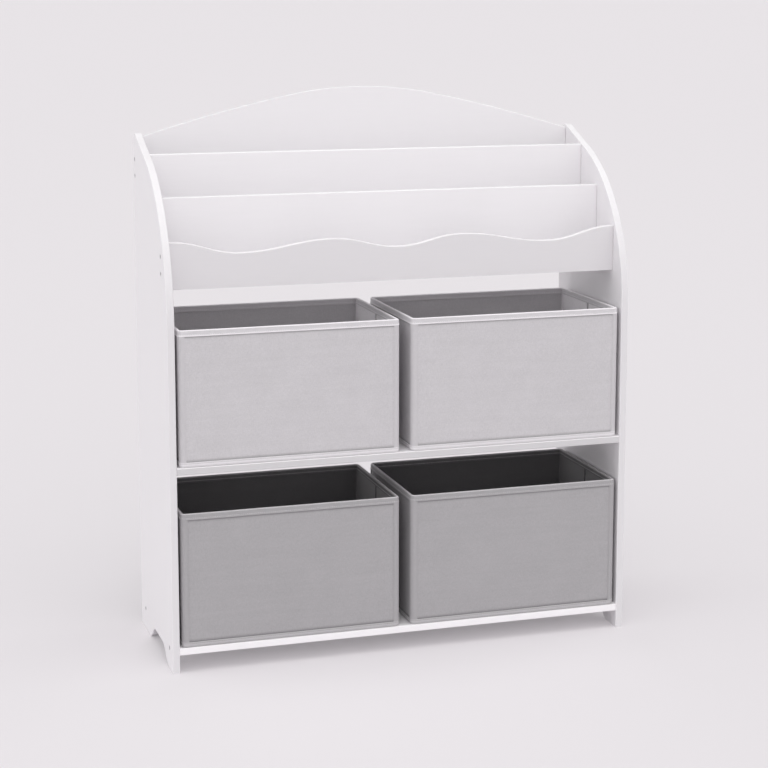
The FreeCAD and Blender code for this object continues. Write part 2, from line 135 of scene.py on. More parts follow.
# ---- node trees -------------------------------------------------------------
class Sketch:
    """Adds and joins the nodes of one tree."""

    def __init__(self, tree: NodeTree) -> None:
        """Keeps the tree that is drawn in."""
        self.tree = tree

    def fill(self, sockets: Any, values: Inputs) -> None:
        """Fills the inputs of a node.

        Args:
            sockets: the inputs.
            values: a socket to join or a value to set, by the input's name or number.
        """
        for key, value in values.items():
            if isinstance(value, NodeSocket):
                self.tree.links.new(value, sockets[key])
            else:
                sockets[key].default_value = value

    def add(self, kind: str, inputs: Inputs | None = None, **settings: Any) -> Node:
        """Adds a node, sets it and fills its inputs.

        Args:
            kind: type name of the node.
            inputs: a socket to join or a value to set, by the input's name or number.
            **settings: properties of the node.

        Returns:
            The new node.
        """
        node = self.tree.nodes.new(kind)
        for name, value in settings.items():
            setattr(node, name, value)
        self.fill(node.inputs, inputs or {})
        return node

    def group(self, tree: NodeTree, inputs: Inputs) -> Any:
        """The outputs of a shader group, placed with its own values."""
        return self.add("ShaderNodeGroup", inputs, node_tree=tree).outputs

    def math(self, operation: str, *values: Any) -> NodeSocket:
        """Result of one arithmetic step on sockets or numbers."""
        return self.add("ShaderNodeMath", dict(enumerate(values)), operation=operation).outputs[0]

    def plus(self, value: Any, other: Any, share: Any) -> NodeSocket:
        """A value with a share of another one added."""
        return self.math("ADD", value, self.math("MULTIPLY", other, share))

    def blend(self, share: Any, first: Any, second: Any, how: str = "MIX") -> NodeSocket:
        """Mixes two colours, by how much of the second one shows."""
        inputs = {0: share, 6: first, 7: second}
        return self.add("ShaderNodeMix", inputs, data_type="RGBA", blend_type=how).outputs[2]

    def shaded(self, color: Any, level: Any) -> NodeSocket:
        """Multiplies a colour by a level of grey."""
        grey = self.add("ShaderNodeCombineXYZ", {0: level, 1: level, 2: level}).outputs[0]
        return self.blend(1.0, color, grey, "MULTIPLY")

    def parts(self, vector: Any) -> Any:
        """The X, Y and Z sockets of a vector."""
        return self.add("ShaderNodeSeparateXYZ", {0: vector}).outputs

    def stretch(self, vector: Any, scale: Axis) -> NodeSocket:
        """Scales a position along its three axes."""
        return self.add("ShaderNodeMapping", {"Vector": vector, "Scale": scale}).outputs[0]

    def noise(self, vector: Any, scale: Any, detail: float = 2.0, roughness: float = 0.5) -> NodeSocket:
        """Smooth random value from 0 to 1, by its cells in a metre and its finer layers."""
        inputs = {"Vector": vector, "Scale": scale, "Detail": detail, "Roughness": roughness}
        return self.add("ShaderNodeTexNoise", inputs).outputs[0]

    def spread(self, value: Any, low: Any, high: Any, start: Any = 0.0, end: Any = 1.0) -> NodeSocket:
        """Maps a value that runs from start to end onto low to high, and no further."""
        return self.add("ShaderNodeMapRange", {0: value, 1: start, 2: end, 3: low, 4: high}).outputs[0]

    def relief(self, height: Any, depth: float) -> NodeSocket:
        """Normal of a fine relief, by its height from about 0 to 1 and its depth in metres."""
        return self.add("ShaderNodeBump", {"Height": height, "Distance": depth, "Strength": 1.0}).outputs[0]


def bare_sketch(block: Material | bpy.types.World) -> Sketch:
    """Empties the node tree of a material or a world.

    Args:
        block: the material or world.

    Returns:
        The sketch of its tree.
    """
    block.use_nodes = True
    block.node_tree.nodes.clear()
    return Sketch(block.node_tree)


def new_group(name: str, takes: dict[str, str], gives: dict[str, str],
              kind: str = "ShaderNodeTree") -> tuple[Sketch, Any, Any]:
    """Starts a node group with named sockets.

    Args:
        name: the group's name.
        takes: socket type of each input, by name.
        gives: socket type of each output, by name.
        kind: tree type.

    Returns:
        The sketch, the input node's outputs and the output node's inputs.
    """
    tree = bpy.data.node_groups.new(name, kind)
    for in_out, sockets in (("INPUT", takes), ("OUTPUT", gives)):
        for socket_name, socket_kind in sockets.items():
            tree.interface.new_socket(name=socket_name, in_out=in_out, socket_type="NodeSocket" + socket_kind)
    sketch = Sketch(tree)
    return sketch, sketch.add("NodeGroupInput").outputs, sketch.add("NodeGroupOutput").inputs


def floats(*names: str) -> dict[str, str]:
    """Sockets that take or give plain numbers, by their names."""
    return {name: "Float" for name in names}


def paint_film_group() -> NodeTree:
    """Sprayed and rolled paint: faint streaks, orange peel and soft cloudiness.

    Returns:
        The shader group.
    """
    takes = {"Position": "Vector", "Tone": "Color", **floats("Streaks", "Clouds", "Peel Scale")}
    s, given, result = new_group("paint_film", takes, {"Color": "Color", **floats("Roughness", "Height")})
    streak = s.noise(given["Position"], scale=230.0, detail=3.0, roughness=0.6)
    cloud = s.noise(given["Position"], scale=9.0)
    peel = s.noise(given["Position"], given["Peel Scale"], detail=1.0, roughness=0.35)
    streaks = s.math("MULTIPLY", s.spread(streak, -1.0, 1.0), given["Streaks"])
    level = s.math("ADD", s.plus(streaks, s.spread(cloud, -1.0, 1.0), given["Clouds"]), 1.0)
    s.fill(result, {
        "Color": s.shaded(given["Tone"], level),
        "Roughness": s.math("ADD", s.spread(cloud, -0.05, 0.05), s.spread(streak, -0.04, 0.04)),
        "Height": s.plus(peel, streak, 0.45),
    })
    return s.tree


def board_edge_group() -> NodeTree:
    """Mask of a board's cut edges, where the fibreboard drinks more paint and the paint carries painted light
    and shade.

    Returns:
        The shader group.
    """
    takes = {"Facing": "Vector", "Position": "Vector", "Thin Axis": "Vector"}
    s, given, result = new_group("board_edge", takes, floats("Edge", "Fibre"))
    pair = {0: given["Facing"], 1: given["Thin Axis"]}
    along = s.add("ShaderNodeVectorMath", pair, operation="DOT_PRODUCT").outputs[1]
    edge = s.spread(s.math("ABSOLUTE", along), 1.0, 0.0, start=0.25, end=0.75)
    fibre = s.noise(given["Position"], scale=1500.0, roughness=0.7)
    s.fill(result, {"Edge": edge, "Fibre": s.math("MULTIPLY", edge, fibre)})
    return s.tree


def dust_group() -> NodeTree:
    """Mask of the thin dust that settles on faces that look up.

    Returns:
        The shader group.
    """
    takes = {"Facing": "Vector", "Position": "Vector", "Amount": "Float"}
    s, given, result = new_group("dust", takes, floats("Dust"))
    patch = s.spread(s.noise(given["Position"], scale=38.0, detail=4.0, roughness=0.65), 0.0, 1.0, 0.35, 0.75)
    settled = s.math("MULTIPLY", s.spread(s.parts(given["Facing"])[2], 0.0, 1.0, start=0.6, end=1.0), patch)
    s.fill(result, {"Dust": s.math("MULTIPLY", settled, given["Amount"])})
    return s.tree


def felt_group() -> NodeTree:
    """Pressed non-woven fabric: crossed fibres, bond points, clouds and drag lines.

    Returns:
        The shader group.
    """
    takes = {"Position": "Vector", "Tone": "Color",
             **floats("Fibre Contrast", "Cloud Contrast", "Bond Pitch")}
    s, given, result = new_group("pressed_felt", takes, {"Color": "Color", **floats("Height", "Fuzz")})
    place = given["Position"]
    level_fibres = s.noise(s.stretch(place, (0.22, 0.22, 1.0)), scale=1100.0, detail=3.0, roughness=0.7)
    steep_fibres = s.noise(s.stretch(place, (1.0, 1.0, 0.25)), scale=900.0, detail=2.0, roughness=0.65)
    fibres = s.math("MULTIPLY", s.math("ADD", level_fibres, steep_fibres), 0.5)
    cloud = s.noise(place, scale=26.0, detail=3.0, roughness=0.55)
    drag = s.noise(s.stretch(place, (0.05, 0.05, 1.0)), scale=120.0, detail=3.0, roughness=0.6)
    x, y, z = s.parts(place)
    turns = s.math("DIVIDE", math.tau, given["Bond Pitch"])
    rows, columns = (s.math("SINE", s.math("MULTIPLY", s.math("ADD", axis, z), turns)) for axis in (x, y))
    bonds = s.spread(s.math("MULTIPLY", rows, columns), 0.0, 1.0, start=0.45, end=0.85)
    fine = s.math("MULTIPLY", s.spread(fibres, -1.0, 1.0, start=0.3, end=0.7), given["Fibre Contrast"])
    broad = s.spread(s.math("ADD", cloud, drag), -1.0, 1.0, start=0.6, end=1.4)
    s.fill(result, {
        "Color": s.shaded(given["Tone"], s.math("ADD", s.plus(fine, broad, given["Cloud Contrast"]), 1.0)),
        "Height": s.plus(s.plus(fibres, bonds, -0.5), drag, 1.6),
        "Fuzz": s.spread(fibres, -0.06, 0.06, start=0.3, end=0.7),
    })
    return s.tree


def ribbon_group() -> NodeTree:
    """Woven binding tape: ribs across it, picks along it and the pucker of its seam.

    Returns:
        The shader group.
    """
    takes = {**floats("Along", "Across"), "Tone": "Color", **floats("Rib Pitch", "Seam Pitch", "Contrast")}
    s, given, result = new_group("woven_ribbon", takes, {"Color": "Color", "Height": "Float"})
    rib, pick, pucker = (
        s.math("SINE", s.math("MULTIPLY", given[way], s.math("DIVIDE", turn, given[pitch])))
        for way, turn, pitch in (("Along", math.tau, "Rib Pitch"), ("Across", math.tau * 0.7, "Rib Pitch"),
                                 ("Along", math.tau, "Seam Pitch")))
    place = s.add("ShaderNodeCombineXYZ", {0: given["Along"], 1: given["Across"], 2: 0.0}).outputs[0]
    uneven = s.noise(place, scale=160.0, detail=3.0, roughness=0.6)
    weave = s.math("MULTIPLY", rib, s.spread(pick, 0.6, 1.0, start=-1.0, end=1.0))
    level = s.plus(1.0, s.plus(s.spread(uneven, -1.0, 1.0), weave, 0.5), given["Contrast"])
    s.fill(result, {
        "Color": s.shaded(given["Tone"], level),
        "Height": s.math("ADD", weave, s.plus(uneven, pucker, 0.8)),
    })
    return s.tree


def fibre_group() -> NodeTree:
    """Long grain or paper fibre, darker where it lies deeper.

    Returns:
        The shader group.
    """
    takes = {"Position": "Vector", "Light": "Color", "Dark": "Color", "Grain Scale": "Float"}
    s, given, result = new_group("long_fibre", takes, {"Color": "Color", "Height": "Float"})
    grain = s.noise(given["Position"], given["Grain Scale"], detail=5.0, roughness=0.65)
    fleck = s.spread(s.noise(given["Position"], scale=2100.0, detail=1.0), 0.0, 0.35, start=0.6, end=0.8)
    share = s.math("ADD", s.spread(grain, 0.0, 0.8, start=0.3, end=0.7), fleck)
    s.fill(result, {"Color": s.blend(share, given["Light"], given["Dark"]), "Height": grain})
    return s.tree


class Effects:
    """The shader groups that the finishes share, each built once."""

    def __init__(self) -> None:
        """Builds every group."""
        self.paint_film = paint_film_group()
        self.board_edge = board_edge_group()
        self.dust = dust_group()
        self.felt = felt_group()
        self.ribbon = ribbon_group()
        self.fibre = fibre_group()


# ---- finishes ---------------------------------------------------------------
@dataclass(frozen=True)
class Finish:
    """What every finish has: a name, a colour and its gloss."""

    name: str
    tone: Color
    roughness: float

    def surface(self, s: Sketch, effects: Effects) -> Inputs:
        """Inputs of the shader by name, which each finish draws in its own way."""
        raise NotImplementedError

    def build(self, effects: Effects) -> Material:
        """Makes the material.

        Args:
            effects: the shared shader groups.

        Returns:
            The material.
        """
        material = bpy.data.materials.new(self.name)
        s = bare_sketch(material)
        shader = s.add("ShaderNodeBsdfPrincipled", {"Roughness": self.roughness})
        s.add("ShaderNodeOutputMaterial", {"Surface": shader.outputs[0]})
        s.fill(shader.inputs, self.surface(s, effects))
        return material


@dataclass(frozen=True)
class Paint(Finish):
    """Satin white lacquer on fibreboard, whose sawn edges drink more paint and carry painted light and shade
    by the way they face.
    """

    run: Run
    thin: Thin
    edge_shade: float = 0.945
    top_edge_shade: float = 0.94
    edge_roughness: float = 0.12
    edge_relief: float = 1.4
    streaks: float = 0.012
    clouds: float = 0.014
    peel_scale: float = 520.0
    peel_depth: float = 0.04 * MM
    dust_amount: float = 0.10
    dust_tone: Color = (0.60, 0.57, 0.56)

    def surface(self, s: Sketch, effects: Effects) -> Inputs:
        """Draws the paint film, the sawn edges with their painted light and shade, and the dust.

        Args:
            s: sketch of the material's tree.
            effects: the shared shader groups.

        Returns:
            The shader's inputs, by name.
        """
        spot = s.add("ShaderNodeTexCoord").outputs
        place, facing = spot["Object"], spot["Normal"]
        film = s.group(effects.paint_film, {
            "Position": s.stretch(place, self.run.value), "Tone": opaque(self.tone),
            "Streaks": self.streaks, "Clouds": self.clouds, "Peel Scale": self.peel_scale})
        spots = {"Facing": facing, "Position": place}
        edge = s.group(effects.board_edge, {**spots, "Thin Axis": self.thin.value})
        dust = s.group(effects.dust, {**spots, "Amount": self.dust_amount})
        worn = s.blend(dust["Dust"], film["Color"], opaque(self.dust_tone))
        # edges get a tone of their own: partly the paint the fibreboard drinks, partly painted light and
        # shade, lighter where they face up
        shade = s.spread(s.parts(facing)[2], self.edge_shade, self.top_edge_shade, start=0.0, end=0.7)
        gloss = s.math("ADD", self.roughness, film["Roughness"])
        return {
            "Base Color": s.blend(edge["Edge"], worn, s.shaded(worn, shade)),
            "Roughness": s.plus(gloss, edge["Edge"], self.edge_roughness),
            "Normal": s.relief(s.plus(film["Height"], edge["Fibre"], self.edge_relief), self.peel_depth),
        }


@dataclass(frozen=True)
class Felt(Finish):
    """Non-woven fabric of a bin; it can carry painted light on the walls that face sideways, and painted
    shade in its folds and seams.
    """

    fibre_contrast: float = 0.10
    cloud_contrast: float = 0.035
    bond_pitch: float = 1.4 * MM
    depth: float = 0.12 * MM
    fold_painted_shade: float = 0.45
    gloss: float = 0.25
    sheen: float = 0.06
    sheen_roughness: float = 0.5
    side_painted_light: float = 0.0

    def surface(self, s: Sketch, effects: Effects) -> Inputs:
        """Draws the felt, with painted shade in its folds and seams, and painted light on the walls that face
        sideways.

        Args:
            s: sketch of the material's tree.
            effects: the shared shader groups.

        Returns:
            The shader's inputs, by name.
        """
        spot = s.add("ShaderNodeTexCoord").outputs
        felt = s.group(effects.felt, {
            "Position": spot["Object"], "Tone": opaque(self.tone), "Fibre Contrast": self.fibre_contrast,
            "Cloud Contrast": self.cloud_contrast, "Bond Pitch": self.bond_pitch})
        # painted shade: the felt is darkened in folds and along seams by the values kept at the vertices
        fold = s.add("ShaderNodeAttribute", attribute_name=PAINTED_SHADE_MAP).outputs["Fac"]
        level = s.spread(fold, 1.0, self.fold_painted_shade)
        # painted light: walls that face sideways are made lighter
        if self.side_painted_light:
            sideways = s.math("ABSOLUTE", s.parts(spot["Normal"])[0])
            gain = s.spread(sideways, 1.0, 1.0 + self.side_painted_light, start=0.3, end=0.9)
            level = s.math("MULTIPLY", level, gain)
        return {
            "Base Color": s.shaded(felt["Color"], level),
            "Roughness": s.math("ADD", self.roughness, felt["Fuzz"]),
            "Specular IOR Level": self.gloss,
            "Sheen Weight": self.sheen,
            "Sheen Roughness": self.sheen_roughness,
            "Normal": s.relief(felt["Height"], self.depth),
        }


@dataclass(frozen=True)
class PaintedLightBand:
    """A band along a tape, painted lighter or darker as a highlight or shade, by its place across the tape
    and its brightness.
    """

    start: float
    end: float
    gain: float
    softness: float = 0.4 * MM


@dataclass(frozen=True)
class Tape(Finish):
    """Folded binding tape, with bands of painted highlight and shade across it."""

    painted_light_bands: tuple[PaintedLightBand, ...] = ()
    rib_pitch: float = 0.9 * MM
    seam_pitch: float = 4.2 * MM
    contrast: float = 0.05
    depth: float = 0.08 * MM
    gloss: float = 0.3
    sheen: float = 0.1

    def surface(self, s: Sketch, effects: Effects) -> Inputs:
        """Draws the weave and the bands of painted highlight and shade.

        Args:
            s: sketch of the material's tree.
            effects: the shared shader groups.

        Returns:
            The shader's inputs, by name.
        """
        along, across, _ = s.parts(s.add("ShaderNodeUVMap", uv_map=TAPE_MAP).outputs[0])
        ribbon = s.group(effects.ribbon, {
            "Along": along, "Across": across, "Tone": opaque(self.tone), "Rib Pitch": self.rib_pitch,
            "Seam Pitch": self.seam_pitch, "Contrast": self.contrast})
        color = ribbon["Color"]
        # painted highlight and shade, band by band across the tape
        for stripe in self.painted_light_bands:
            rise = s.spread(across, 0.0, 1.0, stripe.start - stripe.softness, stripe.start + stripe.softness)
            fall = s.spread(across, 1.0, 0.0, stripe.end - stripe.softness, stripe.end + stripe.softness)
            striped = s.blend(1.0, color, opaque((stripe.gain,) * 3), "MULTIPLY")
            color = s.blend(s.math("MULTIPLY", rise, fall), color, striped)
        return {
            "Base Color": color,
            "Specular IOR Level": self.gloss,
            "Sheen Weight": self.sheen,
            "Normal": s.relief(ribbon["Height"], self.depth),
        }


@dataclass(frozen=True)
class Fibrous(Finish):
    """Cardboard, raw wood or sewing thread, by its grain."""

    dark_tone: Color
    grain_scale: float
    stretch: Axis = (1.0, 1.0, 1.0)
    depth: float = 0.06 * MM

    def surface(self, s: Sketch, effects: Effects) -> Inputs:
        """Draws the grain.

        Args:
            s: sketch of the material's tree.
            effects: the shared shader groups.

        Returns:
            The shader's inputs, by name.
        """
        place = s.stretch(s.add("ShaderNodeTexCoord").outputs["Object"], self.stretch)
        fibre = s.group(effects.fibre, {
            "Position": place, "Light": opaque(self.tone), "Dark": opaque(self.dark_tone),
            "Grain Scale": self.grain_scale})
        return {"Base Color": fibre["Color"], "Normal": s.relief(fibre["Height"], self.depth)}


@dataclass(frozen=True)
class Zinc(Finish):
    """Zinc-plated steel with fine turning marks."""

    depth: float = 0.02 * MM
    haze_shade: float = 0.72

    def surface(self, s: Sketch, effects: Effects) -> Inputs:
        """Draws the turning marks and the haze, without a shared group.

        Args:
            s: sketch of the material's tree.
            effects: the shared shader groups; not used.

        Returns:
            The shader's inputs, by name.
        """
        place = s.add("ShaderNodeTexCoord").outputs["Object"]
        marks = s.noise(s.stretch(place, (0.2, 1.0, 1.0)), scale=2600.0, roughness=0.6)
        haze = s.noise(place, scale=420.0, detail=3.0, roughness=0.6)
        return {
            "Base Color": s.blend(haze, opaque(self.tone), opaque(scaled(self.tone, self.haze_shade))),
            "Metallic": 1.0,
            "Roughness": s.spread(marks, self.roughness - 0.08, self.roughness + 0.12),
            "Normal": s.relief(marks, self.depth),
        }


# ---- meshes -----------------------------------------------------------------
def finish_piece(obj: Object, body: str, slot: str, *nodes: str) -> None:
    """Puts a finished piece on its body.

    Args:
        obj: the piece, in place.
        body: body that it moves with.
        slot: the record's material slot; not used.
        *nodes: the CAD nodes that it stands for.
    """
    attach(obj, body)
    if nodes:
        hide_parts(*nodes)
    log.info("%s: %d faces, on %s", obj.name, len(obj.data.polygons), body)


def dress(node: str, material: Material) -> None:
    """Gives a CAD node its material.

    Args:
        node: the node's name.
        material: its finish.
    """
    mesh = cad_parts[node].data
    mesh.materials.clear()
    mesh.materials.append(material)
    log.info("%s: dressed in %s", node, material.name)


def new_object(name: str, mesh: Mesh, material: Material | None = None) -> Object:
    """Links a mesh as an object.

    Args:
        name: the object's name.
        mesh: its mesh.
        material: its only material.

    Returns:
        The object.
    """
    obj = bpy.data.objects.new(name, mesh)
    if material is not None:
        mesh.materials.clear()
        mesh.materials.append(material)
    bpy.context.scene.collection.objects.link(obj)
    return obj


def smooth_mesh(name: str, bm: bmesh.types.BMesh) -> Mesh:
    """Turns the faces of a closed shape outwards, shades them smooth and frees the shape.

    Args:
        name: the mesh's name.
        bm: the shape.

    Returns:
        The mesh.
    """
    bmesh.ops.recalc_face_normals(bm, faces=bm.faces)
    mesh = bpy.data.meshes.new(name)
    bm.to_mesh(mesh)
    bm.free()
    mesh.polygons.foreach_set("use_smooth", [True] * len(mesh.polygons))
    return mesh


def loft(name: str, rings: list[Ring], is_tube: bool) -> Mesh:
    """Skins closed rings of equal length into one closed mesh.

    Args:
        name: the mesh's name.
        rings: the rings, in order over the surface.
        is_tube: True joins the last ring to the first, False closes both ends with a fan.

    Returns:
        The mesh, with the middles of the fans as its last vertices.
    """
    bm = bmesh.new()
    rows = [[bm.verts.new(point) for point in ring] for ring in rings]
    count = len(rings[0])
    for lower, upper in zip(rows, rows[1:] + rows[:1] if is_tube else rows[1:]):
        for i in range(count):
            j = (i + 1) % count
            bm.faces.new((lower[i], lower[j], upper[j], upper[i]))
    if not is_tube:
        for row in (rows[0], rows[-1]):
            middle = bm.verts.new(sum((v.co for v in row), Vector()) / count)
            for i in range(count):
                bm.faces.new((row[i], row[(i + 1) % count], middle))
    mesh = smooth_mesh(name, bm)
    mesh.set_sharp_from_angle(angle=FABRIC_SHARP_ANGLE)
    return mesh


def keep_painted_shade(mesh: Mesh, painted_shade_shares: list[float]) -> None:
    """Keeps at each vertex how much painted shade the felt gets there, in a fold or seam."""
    attribute = mesh.attributes.new(PAINTED_SHADE_MAP, "FLOAT", "POINT")
    attribute.data.foreach_set("value", painted_shade_shares)


def wire(name: str, rails: Iterable[Rail]) -> Object:
    """Rails as an object with edges only, with the way outwards kept at each point.

    Args:
        name: the object's name.
        rails: for each one its points, the way outwards at each and whether it is closed.

    Returns:
        The object.
    """
    points, edges, outward = [], [], []
    for line, ways, is_closed in rails:
        first = len(points)
        points += line
        outward += ways
        edges += [(first + i, first + i + 1) for i in range(len(line) - 1)]
        if is_closed:
            edges.append((first + len(line) - 1, first))
    mesh = bpy.data.meshes.new(name)
    mesh.from_pydata([tuple(p) for p in points], edges, [])
    attribute = mesh.attributes.new(OUTWARD_MAP, "FLOAT_VECTOR", "POINT")
    attribute.data.foreach_set("vector", [c for way in outward for c in way])
    return new_object(name, mesh)


def face_outwards(mesh: Mesh) -> None:
    """Turns the faces of closed shells outwards.

    Args:
        mesh: the mesh, changed in place.
    """
    bm = bmesh.new()
    bm.from_mesh(mesh)
    bmesh.ops.recalc_face_normals(bm, faces=bm.faces)
    bm.to_mesh(mesh)
    bm.free()


class GeometryTool:
    """A geometry tree with named inputs that turns a wire into a plain mesh."""

    def __init__(self, name: str, takes: dict[str, str]) -> None:
        """Starts the tree, with the socket type of each input besides the wire by name."""
        self.sketch, self.given, self.result = new_group(
            name, {"Wire": "Geometry", **takes}, {"Mesh": "Geometry"}, "GeometryNodeTree")

    def curve(self, geometry: NodeSocket) -> NodeSocket:
        """Turns a wire into a curve."""
        return self.sketch.add("GeometryNodeMeshToCurve", {"Mesh": geometry}).outputs[0]

    def close(self, geometry: NodeSocket) -> None:
        """Ends the tree in Realize Instances and Set Material.

        Args:
            geometry: what the tree has made.
        """
        s = self.sketch
        real = s.add("GeometryNodeRealizeInstances", {0: geometry}).outputs[0]
        smooth = s.add("GeometryNodeSetShadeSmooth", {0: real}).outputs[0]
        dressed = s.add("GeometryNodeSetMaterial", {"Geometry": smooth, "Material": self.given["Material"]})
        s.fill(self.result, {"Mesh": dressed.outputs[0]})

    def run(self, name: str, source: Object, values: dict[str, Any]) -> Object:
        """Runs the tree on a wire, which is used up.

        Args:
            name: name of the new object.
            source: the wire.
            values: value of each input, by name.

        Returns:
            The new object, a plain mesh.
        """
        modifier = source.modifiers.new("tool", "NODES")
        modifier.node_group = self.sketch.tree
        for item in self.sketch.tree.interface.items_tree:
            if item.in_out == "INPUT" and item.name in values:
                modifier[item.identifier] = values[item.name]
        depsgraph = bpy.context.evaluated_depsgraph_get()
        mesh = bpy.data.meshes.new_from_object(source.evaluated_get(depsgraph), depsgraph=depsgraph)
        source.modifiers.remove(modifier)
        bpy.data.objects.remove(source)
        mesh.name = name
        return new_object(name, mesh)


def stitch_tool() -> GeometryTool:
    """Sets one small stitch after another along a wire.

    Returns:
        The tool.
    """
    takes = {"Pitch": "Float", "Stitch Length": "Float", "Thread Radius": "Float", "Unevenness": "Float",
             "Seed": "Int", "Material": "Material"}
    tool = GeometryTool("stitches_along_wire", takes)
    s, given = tool.sketch, tool.given
    holes = s.add("GeometryNodeResampleCurve", {"Curve": tool.curve(given["Wire"]), "Length": given["Pitch"]},
                  mode="LENGTH")
    bead = s.add("GeometryNodeMeshUVSphere", {"Segments": 6, "Rings": 4, "Radius": 1.0})
    tangent = s.add("GeometryNodeInputTangent").outputs[0]
    turn = s.add("FunctionNodeAlignRotationToVector", {"Vector": tangent}, axis="Z")
    half = s.math("MULTIPLY", given["Stitch Length"], 0.5)
    size = s.add("ShaderNodeCombineXYZ", {0: given["Thread Radius"], 1: given["Thread Radius"], 2: half})
    low, high = (s.math(way, 1.0, given["Unevenness"]) for way in ("SUBTRACT", "ADD"))
    random = s.add("FunctionNodeRandomValue", {2: low, 3: high, 8: given["Seed"]}, data_type="FLOAT")
    scale = s.add("ShaderNodeVectorMath", {0: size.outputs[0], 3: random.outputs[1]}, operation="SCALE")
    placed = s.add("GeometryNodeInstanceOnPoints", {
        "Points": holes.outputs[0], "Instance": bead.outputs[0], "Rotation": turn.outputs[0],
        "Scale": scale.outputs[0]})
    tool.close(placed.outputs[0])
    return tool


def tape_tool() -> GeometryTool:
    """Sweeps the section of a tape along a wire and maps it along and across.

    Returns:
        The tool.
    """
    tool = GeometryTool("tape_along_wire", {"Section": "Object", "Material": "Material"})
    s, given = tool.sketch, tool.given
    outward = s.add("GeometryNodeInputNamedAttribute", {"Name": OUTWARD_MAP}, data_type="FLOAT_VECTOR")
    rail = s.add("GeometryNodeSetCurveNormal",
                 {"Curve": tool.curve(given["Wire"]), "Normal": outward.outputs[0]}, mode="FREE")
    section = s.add("GeometryNodeObjectInfo", {"Object": given["Section"]}).outputs["Geometry"]
    curves, lengths = [], []
    for curve in (rail.outputs[0], tool.curve(section)):
        keep = s.add("GeometryNodeCaptureAttribute", {"Geometry": curve})
        keep.capture_items.new("FLOAT", "Length")
        s.fill(keep.inputs, {"Length": s.add("GeometryNodeSplineParameter").outputs["Length"]})
        curves.append(keep.outputs["Geometry"])
        lengths.append(keep.outputs["Length"])
    swept = s.add("GeometryNodeCurveToMesh",
                  {"Curve": curves[0], "Profile Curve": curves[1], "Fill Caps": True})
    both = s.add("ShaderNodeCombineXYZ", {0: lengths[0], 1: lengths[1]}).outputs[0]
    mapped = s.add("GeometryNodeStoreNamedAttribute",
                   {"Geometry": swept.outputs[0], "Name": TAPE_MAP, "Value": both},
                   data_type="FLOAT2", domain="CORNER")
    tool.close(mapped.outputs[0])
    return tool


@dataclass(frozen=True)
class Tools:
    """The geometry tools that the bins share."""

    stitches: GeometryTool
    tape: GeometryTool


# ---- fabric bins ------------------------------------------------------------
@dataclass(frozen=True)
class Station:
    """One place on the way round a bin, on its outline."""

    point: Vector
    outward: Vector
    side: Side | None
    along: float
    length: float

    @property
    def share(self) -> float:
        """How far along its side it is, from 0 to 1."""
        return self.along / self.length if self.side else 0.0


@dataclass(frozen=True)
class Outline:
    """Rounded rectangle of a bin seen from above, walked anticlockwise from the rear right corner."""

    low: Vector
    high: Vector
    radius: float
    spacing: float = 6.0 * MM
    corner_steps: int = 6
    crease_steps: tuple[float, ...] = (-4.4 * MM, -3.4 * MM, -2.0 * MM, 0.0, 2.0 * MM, 3.4 * MM, 4.4 * MM)

    def marks(self, length: float, creases: Iterable[float]) -> list[float]:
        """Places along a side, closer together at its creases.

        Args:
            length: the side's straight length.
            creases: where the creases are.

        Returns:
            The places, in order, from 0 to the length.
        """
        close = [crease + step for crease in creases for step in self.crease_steps]
        count = max(1, round(length / self.spacing))
        even = [length * i / count for i in range(count + 1)]
        inner = [x for x in even[1:-1] if all(abs(x - c) > self.spacing / 2 for c in close)]
        return sorted([0.0, length, *inner, *close])

    def stations(self, creases: dict[Side, list[float]]) -> list[Station]:
        """Every place on the way round.

        Args:
            creases: where each side's creases are, from its start.

        Returns:
            The stations, with the corners' own between those of the sides.
        """
        r = self.radius
        size = self.high - self.low
        starts = {
            Side.REAR: Vector((self.high.x - r, self.high.y, 0.0)),
            Side.LEFT: Vector((self.low.x, self.high.y - r, 0.0)),
            Side.FRONT: Vector((self.low.x + r, self.low.y, 0.0)),
            Side.RIGHT: Vector((self.high.x, self.low.y + r, 0.0)),
        }
        found = []
        for side, start in starts.items():
            length = (size.x if side in (Side.REAR, Side.FRONT) else size.y) - 2 * r
            for along in self.marks(length, creases.get(side, [])):
                found.append(Station(start + side.onward * along, side.outward, side, along, length))
            centre = start + side.onward * length - side.outward * r
            for step in range(1, self.corner_steps):
                angle = math.radians(90 * step / self.corner_steps)
                way = side.outward * math.cos(angle) + side.onward * math.sin(angle)
                found.append(Station(centre + way * r, way, None, 0.0, r))
        return found


@dataclass(frozen=True)
class BinLook:
    """Finishes and slots that a bin's pieces share."""

    felt: Material
    lining: Material
    rim: Material
    hem: Material
    strip: Material
    thread: Material
    soft_thread: Material
    cardboard: Material
    felt_slot: str
    tape_slot: str


